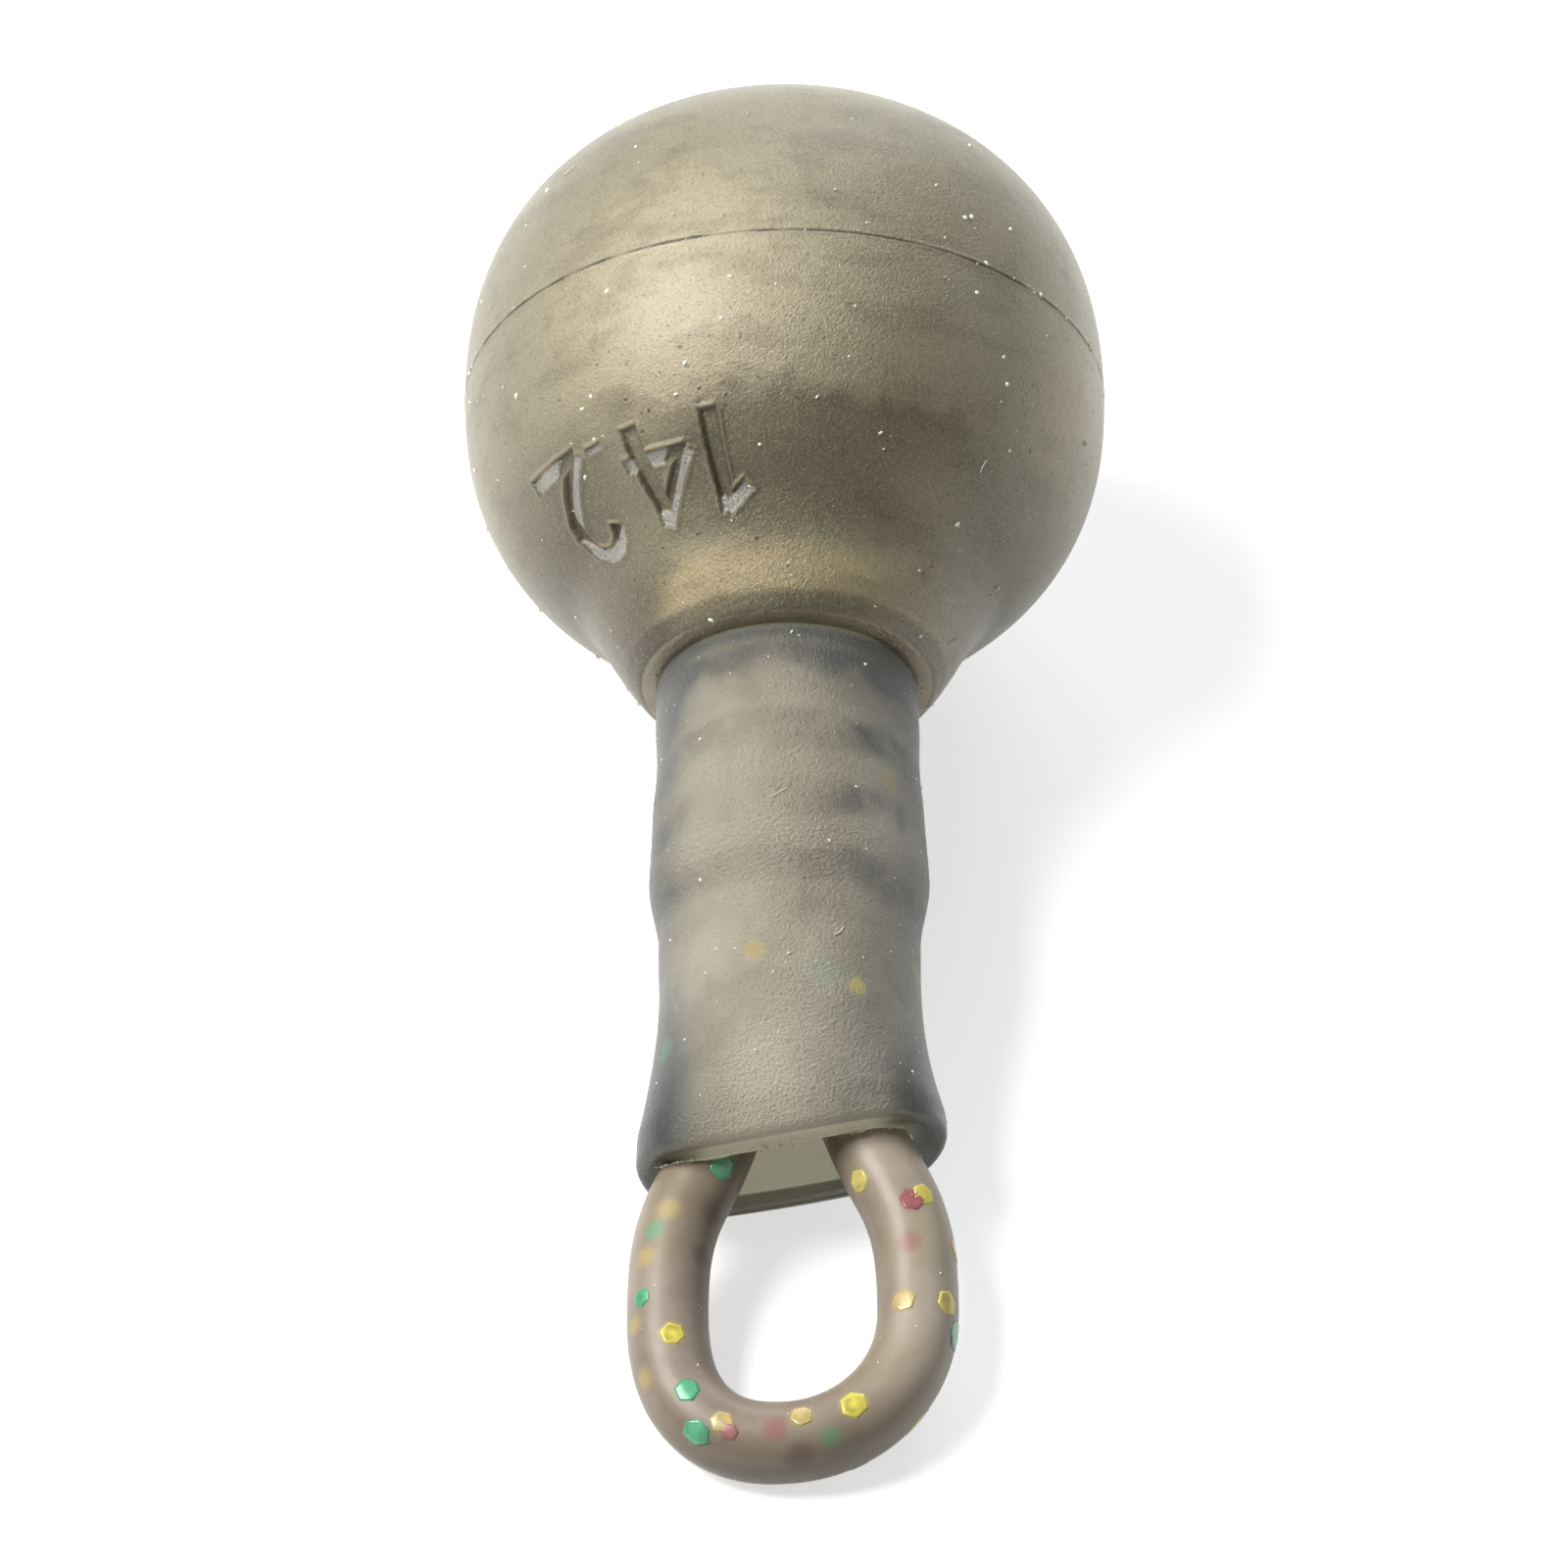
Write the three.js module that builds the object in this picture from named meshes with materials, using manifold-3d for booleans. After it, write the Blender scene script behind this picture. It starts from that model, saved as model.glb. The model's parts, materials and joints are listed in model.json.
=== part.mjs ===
// Back lead: a coated ball lead with a ringed stem, a silicone sleeve pushed over the stem,
// and a soft cord loop whose two ends are held in the sleeve. It lies on its side, resting on
// the ball and on the bight of the loop. Sizes are millimetres, and a "reach" is the distance
// from the ball's parting line towards the loop, along the axis of the tail.
import * as THREE from 'three';
import { mergeVertices } from 'three/addons/utils/BufferGeometryUtils.js';
import Module from 'manifold-3d';

// Ball
const BALL_RADIUS = 7.15;
const CROWN_HEIGHT = 6.7;
const NECK_SIDE_HEIGHT = 6.18;
const BALL_FULLNESS = 2.33; // 2 is an ellipse in section, more is fuller at the shoulders
const COAT_WALL = 0.35;
const COAT_CLEARANCE = 0.05;
const SEAM_RIDGE_HEIGHT = 0.06;
const SEAM_RIDGE_WIDTH = 0.3;

// Neck dome, which the coat carries down to the stem
const NECK_ROOT_RADIUS = 4.9;
const NECK_HOLLOW_RADIUS = 4.25; // the neck flows out of the ball through a slight hollow
const NECK_HOLLOW_RISE = 0.45;
const NECK_SHOULDER_RADIUS = 3.95;
const NECK_SHOULDER_RISE = 1.69;
const NECK_EDGE_RADIUS = 3.25;
const NECK_REACH = 7.37;
const NECK_FACE_WALL = 0.45;

// Ringed stem, cast into the lead by a flange
const SHANK_RADIUS = 1.45;
const FLANGE_RADIUS = 2.7;
const FLANGE_THICKNESS = 0.9;
const STEM_DEPTH = 4.6; // how far the stem goes into the weight, from the neck's end face
const STEM_CLEARANCE = 0.08;
const FIRST_RING_REACH = 8.6;
const RING_COUNT = 3;
const RING_PITCH = 1.93;
const RING_RADIUS = 2.03;
const RING_LAND = 0.5;
const RING_BACK = 0.12;
const RING_LEAD_IN = 0.8;
const STEM_NOSE = 0.35;
const STEM_NOSE_RADIUS = 1.05;

// Silicone sleeve
const SLEEVE_SEAT_GAP = 0.3;
const SLEEVE_LENGTH = 11.6;
const SLEEVE_WALL = 0.75;
const RING_CLEARANCE = 0.12;
const BULGE_HEIGHT = 0.16; // where the last ring stretches the sleeve
const BULGE_RISE = 3.4;
const BULGE_FALL = 1.7;
const WAIST_DEPTH = 0.04; // where the sleeve relaxes beyond the stem
const FLARE_LENGTH = 4.3;
const MOUTH_SIDE_WALL = 0.68;
const MOUTH_SLANT = 0.33; // the cut end is not square: one side reaches this much further
const MOUTH_TONGUE = 0.25; // the flats of the mouth reach this much further than its sides
const TAIL_TWIST = THREE.MathUtils.degToRad(4); // turn of the mouth and the loop about the tail

// Cord loop
const CORD_RADIUS = 0.885;
const CORD_CLEARANCE = 0.1;
const CORD_END_GAP = 0.5; // between the stem's nose and the ends of the cord
const CORD_LEG_GAP = 0.16;
const FLEX_GAP = 0.97; // how far outside the mouth's sides the loop bends
const FLEX_HALF_SPACING = 2.2;
const FLEX_SPREAD = THREE.MathUtils.degToRad(22);
const CORD_STUB_GAP = 0.15; // between a cord end and the ball end of the bending loop
const LOOP_HALF_WIDTH = 2.7;
const LOOP_STRAIGHT = 2.95; // from the bend to the widest place
const BIGHT_DEPTH = 3.1;
const BIGHT_FULLNESS = 2.2; // 2 is a half ellipse, more is fuller at its corners
const BIGHT_LEAN = 0.28; // the bight's lowest point lies a little to one side

// Numbers of faces
const BALL_SIDES = 48;
const STEM_SIDES = 28;
const SLEEVE_SIDES = 40;
const CORD_SIDES = 12;

// Reaches that follow from the sizes above
const neckRootReach = NECK_SIDE_HEIGHT * ovalShare(NECK_ROOT_RADIUS / BALL_RADIUS);
const stemFootReach = NECK_REACH - STEM_DEPTH;
const lastRingReach = FIRST_RING_REACH + (RING_COUNT - 1) * RING_PITCH;
const stemNoseReach = lastRingReach + RING_LAND / 2 + STEM_NOSE;
const sleeveReach = NECK_REACH + SLEEVE_SEAT_GAP;
const mouthReach = sleeveReach + SLEEVE_LENGTH;
const flareReach = mouthReach - FLARE_LENGTH;
const flexReach = mouthReach + FLEX_GAP;
const cordEndReach = stemNoseReach + CORD_END_GAP;
const boreRadius = RING_RADIUS + RING_CLEARANCE;
const legHalfSpacing = CORD_RADIUS + CORD_LEG_GAP / 2;
const legBoreRadius = Math.max(boreRadius - WAIST_DEPTH, legHalfSpacing + CORD_RADIUS + CORD_CLEARANCE);
const mouthHalfSpacing = FLEX_HALF_SPACING - FLEX_GAP * Math.tan(FLEX_SPREAD);
const mouthBoreRadius = CORD_RADIUS / Math.cos(FLEX_SPREAD) + CORD_CLEARANCE;

// How far along its half height a full oval still has the given share of its radius.
function ovalShare(radiusShare) {
  return Math.pow(1 - Math.pow(radiusShare, BALL_FULLNESS), 1 / BALL_FULLNESS);
}

// A profile point: distance from the axis, and reach towards the loop.
function point(radius, reach) {
  return new THREE.Vector2(radius, -reach);
}

// One quarter of the ball's section, from the pole (or from startRadius) to the parting line.
function quarterOval(inset, height, startRadius, steps) {
  const radius = BALL_RADIUS - inset;
  const halfHeight = Math.abs(height) - inset;
  const start = Math.asin(Math.min(1, Math.pow(startRadius / radius, BALL_FULLNESS / 2)));
  const points = [];
  for (let i = 0; i <= steps; i += 1) {
    const angle = start + (Math.PI / 2 - start) * (i / steps);
    const r = radius * Math.pow(Math.sin(angle), 2 / BALL_FULLNESS);
    const y = halfHeight * Math.pow(Math.max(0, Math.cos(angle)), 2 / BALL_FULLNESS);
    points.push(point(r, Math.sign(height) * y));
  }
  return points;
}

// The neck's dome, from its root on the ball to the edge of its end face.
function neckDome(inset, steps) {
  const curve = new THREE.CubicBezierCurve(
    point(NECK_ROOT_RADIUS - inset, neckRootReach - inset),
    point(NECK_HOLLOW_RADIUS - inset, neckRootReach + NECK_HOLLOW_RISE - inset),
    point(NECK_SHOULDER_RADIUS - inset, neckRootReach + NECK_SHOULDER_RISE - inset),
    point(NECK_EDGE_RADIUS - inset, NECK_REACH - inset),
  );
  return curve.getPoints(steps);
}

// Half of a skin's section: crown pole, parting line, neck, with the ridge if it has one.
function skinProfile(inset, ridge, steps) {
  const crown = quarterOval(inset, -CROWN_HEIGHT, 0, steps);
  const neckSide = quarterOval(inset, NECK_SIDE_HEIGHT, NECK_ROOT_RADIUS - inset, steps).reverse();
  const half = SEAM_RIDGE_WIDTH / 2;
  const radius = BALL_RADIUS - inset;
  const seam = ridge > 0
    ? [point(radius, -half), point(radius + ridge, 0), point(radius, half)]
    : [point(radius, 0)];
  return [...crown.slice(0, -1), ...seam, ...neckSide.slice(1, -1), ...neckDome(inset, 6)];
}

function lathe(profile, sides) {
  return new THREE.LatheGeometry(profile, sides, Math.PI / sides);
}

// Soft coat over the lead, open at the neck's end face for the stem.
function ballCoat() {
  const hole = SHANK_RADIUS + STEM_CLEARANCE;
  const outside = skinProfile(0, SEAM_RIDGE_HEIGHT, 10);
  const inside = skinProfile(COAT_WALL, 0, 7);
  const lip = inside[inside.length - 1];
  const profile = [
    ...outside,
    point(hole, NECK_REACH),
    point(hole, NECK_REACH - NECK_FACE_WALL),
    point(lip.x, NECK_REACH - NECK_FACE_WALL),
    ...inside.slice(0, -1).reverse(),
  ];
  return lathe(profile.reverse(), BALL_SIDES);
}

// Cast lead, with the socket that the stem's flange was cast into.
function leadCore() {
  const inset = COAT_WALL + COAT_CLEARANCE;
  const faceReach = NECK_REACH - NECK_FACE_WALL - COAT_CLEARANCE;
  const outside = skinProfile(inset, 0, 7);
  const edge = outside[outside.length - 1];
  const shankHole = SHANK_RADIUS + STEM_CLEARANCE;
  const flangeHole = FLANGE_RADIUS + STEM_CLEARANCE;
  const flangeTop = stemFootReach + FLANGE_THICKNESS + STEM_CLEARANCE;
  const profile = [
    ...outside.slice(0, -1),
    point(edge.x, faceReach),
    point(shankHole, faceReach),
    point(shankHole, flangeTop),
    point(flangeHole, flangeTop),
    point(flangeHole, stemFootReach - STEM_CLEARANCE),
    point(0, stemFootReach - STEM_CLEARANCE),
  ];
  return lathe(profile.reverse(), BALL_SIDES);
}

// One barbed ring: a steep back towards the ball, a land, and a long lead-in for the sleeve.
function ringProfile(reach) {
  const landStart = reach - RING_LAND / 2;
  const landEnd = reach + RING_LAND / 2;
  return [
    point(SHANK_RADIUS, landStart - RING_BACK),
    point(RING_RADIUS, landStart),
    point(RING_RADIUS, landEnd),
    point(SHANK_RADIUS, landEnd + RING_LEAD_IN),
  ];
}

function ringedStem() {
  const flangeTop = stemFootReach + FLANGE_THICKNESS;
  const rings = [];
  for (let i = 0; i < RING_COUNT - 1; i += 1) {
    rings.push(...ringProfile(FIRST_RING_REACH + i * RING_PITCH));
  }
  rings.push(...ringProfile(lastRingReach).slice(0, 3));
  const profile = [
    point(0, stemFootReach),
    point(FLANGE_RADIUS, stemFootReach),
    point(FLANGE_RADIUS, flangeTop),
    point(SHANK_RADIUS, flangeTop),
    ...rings,
    point(STEM_NOSE_RADIUS, stemNoseReach),
    point(0, stemNoseReach),
  ];
  return lathe(profile.reverse(), STEM_SIDES);
}

// How far the flare has gone at a reach: 0 where the sleeve is round, 1 at its mouth.
function flareShare(reach) {
  const share = THREE.MathUtils.clamp((reach - flareReach) / FLARE_LENGTH, 0, 1);
  return share * share;
}

// Extra radius over the last ring, and the slight waist beyond it.
function ringBulge(reach) {
  const past = reach - lastRingReach;
  const distance = past < 0 ? -past / BULGE_RISE : past / BULGE_FALL;
  return distance >= 1 ? 0 : BULGE_HEIGHT * Math.pow(Math.cos((distance * Math.PI) / 2), 2);
}

function boreAt(reach) {
  const beyond = THREE.MathUtils.smoothstep(reach, lastRingReach, lastRingReach + BULGE_FALL);
  return THREE.MathUtils.lerp(boreRadius, legBoreRadius, beyond) + ringBulge(reach);
}

// A place across the tail, turned about its axis as far as the tail is twisted at that reach.
function turned(x, reach, z) {
  const twist = TAIL_TWIST * flareShare(reach);
  const sine = Math.sin(twist);
  const cosine = Math.cos(twist);
  return new THREE.Vector3(x * cosine - z * sine, -reach, x * sine + z * cosine);
}

// Half spacing and radius of the sleeve's section, which is two half rounds side by side.
function sleeveSection(reach, wall, sideWall) {
  const share = flareShare(reach);
  const round = boreAt(reach) + wall;
  const flat = mouthBoreRadius + wall;
  return {
    spacing: share * (mouthHalfSpacing + sideWall - wall),
    radius: THREE.MathUtils.lerp(round, flat, share),
  };
}

// Sleeve: a lathed tube whose mouth is pulled into an oval over the two legs of the cord.
function sleeveTube() {
  const rows = 16;
  const reaches = [];
  for (let i = 0; i <= rows; i += 1) {
    reaches.push(sleeveReach + (SLEEVE_LENGTH * i) / rows);
  }
  const outerRadius = boreRadius + SLEEVE_WALL;
  const outside = reaches.map((reach) => point(outerRadius, reach));
  const inside = reaches.map((reach) => point(boreRadius, reach)).reverse();
  const geometry = lathe([...outside, ...inside, outside[0]].reverse(), SLEEVE_SIDES);
  const position = geometry.attributes.position;
  const flatShare = 0.3; // share of the half round over which the flat is drawn out
  for (let i = 0; i < position.count; i += 1) {
    const x = position.getX(i);
    const z = position.getZ(i);
    const reach = -position.getY(i);
    const isOutside = Math.hypot(x, z) > boreRadius + SLEEVE_WALL / 2;
    const section = isOutside
      ? sleeveSection(reach, SLEEVE_WALL, MOUTH_SIDE_WALL)
      : sleeveSection(reach, 0, 0);
    const across = x / Math.hypot(x, z);
    const away = z / Math.hypot(x, z);
    const drawn = THREE.MathUtils.clamp(across / flatShare, -1, 1);
    const tongue = MOUTH_TONGUE * (1 - across * across);
    const further = (tongue - MOUTH_SLANT * drawn) * flareShare(reach);
    const spot = turned(section.radius * across + section.spacing * drawn, reach, section.radius * away);
    position.setXYZ(i, spot.x, spot.y - further, spot.z);
  }
  return geometry;
}

// Centreline of one leg inside the sleeve, from the cord's cut end to where it bends.
function legRoute(side) {
  const run = flexReach - cordEndReach;
  const slope = Math.tan(FLEX_SPREAD);
  return new THREE.CubicBezierCurve3(
    turned(side * legHalfSpacing, cordEndReach, 0),
    turned(side * legHalfSpacing, cordEndReach + run * 0.35, 0),
    turned(side * (FLEX_HALF_SPACING - slope * run * 0.3), flexReach - run * 0.3, 0),
    turned(side * FLEX_HALF_SPACING, flexReach, 0),
  );
}

// Centreline of the free loop: out along one leg, round the bight, and back along the other.
class LoopRoute extends THREE.Curve {
  constructor() {
    super();
    this.left = LoopRoute.leg(-1);
    this.right = LoopRoute.leg(1);
  }

  static leg(side) {
    const slope = Math.tan(FLEX_SPREAD);
    const first = LOOP_STRAIGHT * 0.3;
    const second = LOOP_STRAIGHT * 0.42;
    const wide = flexReach + LOOP_STRAIGHT;
    return new THREE.CubicBezierCurve3(
      turned(side * FLEX_HALF_SPACING, flexReach, 0),
      turned(side * (FLEX_HALF_SPACING + slope * first), flexReach + first, 0),
      turned(side * LOOP_HALF_WIDTH, wide - second, 0),
      turned(side * LOOP_HALF_WIDTH, wide, 0),
    );
  }

  getPoint(t, target = new THREE.Vector3()) {
    const legShare = 0.25;
    if (t < legShare) {
      return target.copy(this.left.getPoint(t / legShare));
    }
    if (t > 1 - legShare) {
      return target.copy(this.right.getPoint((1 - t) / legShare));
    }
    const turn = Math.PI * ((t - legShare) / (1 - 2 * legShare));
    const drop = Math.pow(Math.max(0, Math.sin(turn)), 2 / BIGHT_FULLNESS);
    const out = Math.sign(Math.cos(turn)) * Math.pow(Math.abs(Math.cos(turn)), 2 / BIGHT_FULLNESS);
    const x = -LOOP_HALF_WIDTH * out - BIGHT_LEAN * drop * drop;
    return target.copy(turned(x, flexReach + LOOP_STRAIGHT + BIGHT_DEPTH * drop, 0));
  }
}

function cordSection() {
  return new THREE.Shape().absellipse(0, 0, CORD_RADIUS, CORD_RADIUS, 0, Math.PI * 2);
}

function cordAlong(route, steps) {
  const outline = cordSection().getSpacedPoints(CORD_SIDES).slice(0, CORD_SIDES);
  return new THREE.ExtrudeGeometry(new THREE.Shape(outline), {
    steps,
    extrudePath: route,
    bevelEnabled: false,
  });
}

// The part of a leg that is fixed in the sleeve stops short of the rounded end of the loop.
function cordEnd(side) {
  const route = legRoute(side);
  const stop = 1 - (CORD_RADIUS + CORD_STUB_GAP) / route.getLength();
  const points = [];
  for (let i = 0; i <= 8; i += 1) {
    points.push(route.getPointAt((stop * i) / 8));
  }
  return cordAlong(new THREE.CatmullRomCurve3(points), 10);
}

const wasm = await Module();
wasm.setup();

function toSolid(geometry) {
  const bare = geometry.clone();
  bare.deleteAttribute('normal');
  bare.deleteAttribute('uv');
  const welded = mergeVertices(bare, 1e-4);
  return new wasm.Manifold(new wasm.Mesh({
    numProp: 3,
    vertProperties: new Float32Array(welded.attributes.position.array),
    triVerts: new Uint32Array(welded.index.array),
  }));
}

function fromSolid(solid) {
  const mesh = solid.getMesh();
  const geometry = new THREE.BufferGeometry();
  geometry.setAttribute('position', new THREE.BufferAttribute(mesh.vertProperties, 3));
  geometry.setIndex(new THREE.BufferAttribute(mesh.triVerts, 1));
  geometry.computeVertexNormals();
  return geometry;
}

// The free loop has ball ends, centred where it bends, so that it turns without catching.
function cordLoop() {
  let solid = toSolid(cordAlong(new LoopRoute(), 44));
  for (const side of [-1, 1]) {
    const ball = new THREE.SphereGeometry(CORD_RADIUS * 0.995, CORD_SIDES, 8);
    const bend = turned(side * FLEX_HALF_SPACING, flexReach, 0);
    ball.translate(bend.x, bend.y, bend.z);
    solid = solid.add(toSolid(ball));
  }
  return fromSolid(solid);
}

function piece(name, geometry, color, roughness, metalness) {
  const material = new THREE.MeshStandardMaterial({ color, roughness, metalness });
  const mesh = new THREE.Mesh(geometry, material);
  mesh.name = name;
  return mesh;
}

const OLIVE_COAT = 0x8a846c;
const CAST_LEAD = 0x6d7075;
const STEM_OLIVE = 0x6f6a55;
const SMOKE_SILICONE = 0x7d7c6e;
const CORD_TAUPE = 0x8a7b6c;

const coat = piece('ball_coat', ballCoat(), OLIVE_COAT, 0.5, 0);
const loop = piece('cord_loop', cordLoop(), CORD_TAUPE, 0.35, 0);
const lead = new THREE.Group();
lead.add(
  coat,
  piece('lead_core', leadCore(), CAST_LEAD, 0.6, 0.7),
  piece('ringed_stem', ringedStem(), STEM_OLIVE, 0.5, 0),
  piece('silicone_sleeve', sleeveTube(), SMOKE_SILICONE, 0.45, 0),
  piece('cord_end_left', cordEnd(-1), CORD_TAUPE, 0.35, 0),
  piece('cord_end_right', cordEnd(1), CORD_TAUPE, 0.35, 0),
  loop,
);

// Lowest height of a mesh when the lead is tipped by an angle about its own X axis.
function lowest(mesh, tip) {
  const position = mesh.geometry.attributes.position;
  let low = Infinity;
  for (let i = 0; i < position.count; i += 1) {
    low = Math.min(low, position.getY(i) * Math.sin(tip) + position.getZ(i) * Math.cos(tip));
  }
  return low;
}

// The angle at which the ball and the bight of the loop touch the ground together.
function restingTip() {
  let low = 0;
  let high = Math.PI / 4;
  for (let i = 0; i < 40; i += 1) {
    const middle = (low + high) / 2;
    if (lowest(loop, middle) > lowest(coat, middle)) {
      low = middle;
    } else {
      high = middle;
    }
  }
  return (low + high) / 2;
}

lead.rotation.x = restingTip();

const backLead = new THREE.Group();
backLead.add(lead);
backLead.updateMatrixWorld(true);
const bounds = new THREE.Box3().setFromObject(backLead, true);
const centre = bounds.getCenter(new THREE.Vector3());
lead.position.set(-centre.x, -centre.y, -bounds.min.z);

export default backLead;
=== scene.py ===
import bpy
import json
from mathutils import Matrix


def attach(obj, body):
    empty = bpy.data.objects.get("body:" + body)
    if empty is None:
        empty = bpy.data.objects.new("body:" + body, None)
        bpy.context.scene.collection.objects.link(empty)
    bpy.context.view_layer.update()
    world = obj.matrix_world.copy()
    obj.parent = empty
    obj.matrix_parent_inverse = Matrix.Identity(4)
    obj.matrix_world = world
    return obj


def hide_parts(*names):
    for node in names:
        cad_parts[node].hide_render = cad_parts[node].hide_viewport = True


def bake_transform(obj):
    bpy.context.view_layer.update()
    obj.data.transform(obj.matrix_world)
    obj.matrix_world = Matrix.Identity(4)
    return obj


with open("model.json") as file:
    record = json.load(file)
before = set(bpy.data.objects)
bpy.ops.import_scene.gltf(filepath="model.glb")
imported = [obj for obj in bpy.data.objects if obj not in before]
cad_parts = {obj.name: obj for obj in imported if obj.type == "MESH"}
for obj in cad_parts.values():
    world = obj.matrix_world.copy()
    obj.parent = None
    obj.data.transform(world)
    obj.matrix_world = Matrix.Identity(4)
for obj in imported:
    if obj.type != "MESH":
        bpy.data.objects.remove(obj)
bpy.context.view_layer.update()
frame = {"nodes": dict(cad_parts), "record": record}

import json
import math
import random

import bpy
import numpy as np
from bpy.props import (
    FloatProperty,
    FloatVectorProperty,
    IntProperty,
    PointerProperty,
    StringProperty,
)
from mathutils import Matrix, Vector

bl_info = {
    "name": "Back Lead",
    "version": (1, 0, 0),
    "blender": (4, 5, 0),
    "location": "View3D > Sidebar > Back Lead",
    "description": "Coated ball lead with a ringed stem, a silicone sleeve and a cord loop",
    "category": "Add Mesh",
}

MM = 0.001
JOINTS = {joint["name"]: joint for joint in frame["record"]["behaviour"]["joints"]}
TAIL_AXIS = Vector(JOINTS["weight_pull"]["axis"]).normalized()
BEND_PLACE = Vector(JOINTS["loop_flex"]["pos_m"])


# ---------------------------------------------------------------- sizes


def length(name, description, millimetres):
    """A length that a user can change, kept in metres."""
    return FloatProperty(
        name=name,
        description=description,
        default=millimetres * MM,
        unit="LENGTH",
        subtype="DISTANCE",
        precision=5,
    )


def turn(name, description, degrees):
    return FloatProperty(
        name=name,
        description=description,
        default=math.radians(degrees),
        unit="ROTATION",
        subtype="ANGLE",
    )


def share(name, description, value, top=1.0):
    return FloatProperty(
        name=name, description=description, default=value, min=0.0, max=top
    )


def colour(name, description, red, green, blue):
    """A colour, given as the 0 to 255 numbers it shows as on a screen."""
    shown = [value / 255 for value in (red, green, blue)]
    linear = [v / 12.92 if v <= 0.04045 else ((v + 0.055) / 1.055) ** 2.4 for v in shown]
    return FloatVectorProperty(
        name=name,
        description=description,
        default=(*linear, 1.0),
        size=4,
        min=0.0,
        max=1.0,
        subtype="COLOR",
    )


class BallSettings(bpy.types.PropertyGroup):
    """Sizes of the coated ball and its neck."""

    radius: length("Radius", "Radius of the ball at its parting line", 7.15)
    crown_height: length("Crown height", "From the parting line to the crown", 6.7)
    neck_height: length("Neck side height", "Half height of the neck side's oval", 6.18)
    fullness: FloatProperty(
        name="Fullness", description="2 is an ellipse, more is fuller", default=2.33
    )
    wall: length("Coat wall", "Thickness of the coat over the lead", 0.35)
    ridge_height: length("Ridge height", "Height of the ridge at the parting line", 0.016)
    groove_depth: length("Groove depth", "Depth of the thin line in the ridge", 0.03)
    root_radius: length("Neck root", "Radius where the neck leaves the ball", 4.9)
    hollow_radius: length("Neck hollow", "Radius of the slight hollow", 4.25)
    hollow_rise: length("Hollow rise", "Reach from the root to the hollow", 0.45)
    shoulder_radius: length("Neck shoulder", "Radius that the dome bends round", 3.95)
    shoulder_rise: length("Shoulder rise", "Reach from the root to the shoulder", 1.69)
    edge_radius: length("Neck edge", "Radius of the neck's end face", 3.25)
    neck_reach: length("Neck reach", "From the parting line to the end face", 7.37)
    hole_radius: length("Stem hole", "Radius of the hole for the stem", 1.53)
    face_wall: length("Face wall", "Thickness of the neck's end face", 0.45)
    number: StringProperty(
        name="Number", description="Weight in grams, sunk in the coat", default="14.2"
    )
    number_height: length("Number height", "Height of the sunk digits", 2.25)
    number_depth: length("Number depth", "Depth of the sunk digits", 0.11)
    number_reach: length("Number reach", "From the parting line to the digits", 4.62)
    number_turn: turn("Number turn", "Turn of the digits round the axis", -35.5)


class StemSettings(bpy.types.PropertyGroup):
    """Sizes of the stem that is cast into the lead."""

    shank_radius: length("Shank", "Radius of the stem between its rings", 1.45)
    flange_radius: length("Flange radius", "Radius of the foot in the lead", 2.7)
    flange_height: length("Flange height", "Thickness of the foot", 0.9)
    foot_reach: length("Foot reach", "Where the stem starts", 2.77)
    first_ring: length("First ring", "Reach of the first ring", 8.6)
    ring_pitch: length("Ring pitch", "From one ring to the next", 1.93)
    ring_radius: length("Ring radius", "Radius of a ring's land", 2.03)
    ring_land: length("Ring land", "Length of a ring's land", 0.5)
    ring_back: length("Ring back", "Length of a ring's steep back", 0.12)
    ring_lead: length("Ring lead-in", "Length of a ring's slope", 0.8)
    nose: length("Nose", "Length of the nose beyond the last ring", 0.35)
    nose_radius: length("Nose radius", "Radius of the nose", 1.05)
    ring_count: IntProperty(name="Rings", description="Number of rings", default=3)


class SleeveSettings(bpy.types.PropertyGroup):
    """Sizes of the silicone sleeve."""

    start: length("Start", "Reach of the end at the ball", 7.5)
    run: length("Length", "Length of the sleeve at its sides", 11.77)
    wall: length("Wall", "Wall thickness", 0.75)
    side_wall: length("Side wall", "Wall thickness at the mouth's sides", 0.68)
    bore: length("Bore", "Radius of the bore over the rings", 2.15)
    leg_bore: length("Leg bore", "Radius of the bore over the cord", 2.11)
    mouth_bore: length("Mouth bore", "Radius of the mouth's half rounds", 1.054)
    mouth_half: length("Mouth spacing", "Half spacing of the mouth's half rounds", 1.808)
    bulge: length("Bulge", "Swelling over the last ring", 0.16)
    bulge_rise: length("Bulge rise", "Length of the swelling before the ring", 3.4)
    bulge_fall: length("Bulge fall", "Length of the swelling after the ring", 1.7)
    flare: length("Flare", "Length over which the mouth widens", 4.3)
    slant: length("Slant", "How far the cut end is from square", 0.33)
    tongue: length("Tongue", "How far the flats reach beyond the sides", 0.25)
    lip: length("Lip", "Rounding of the mouth's outer edge", 0.24)
    twist: turn("Twist", "Turn of the mouth and loop about the tail", 4.0)


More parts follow.
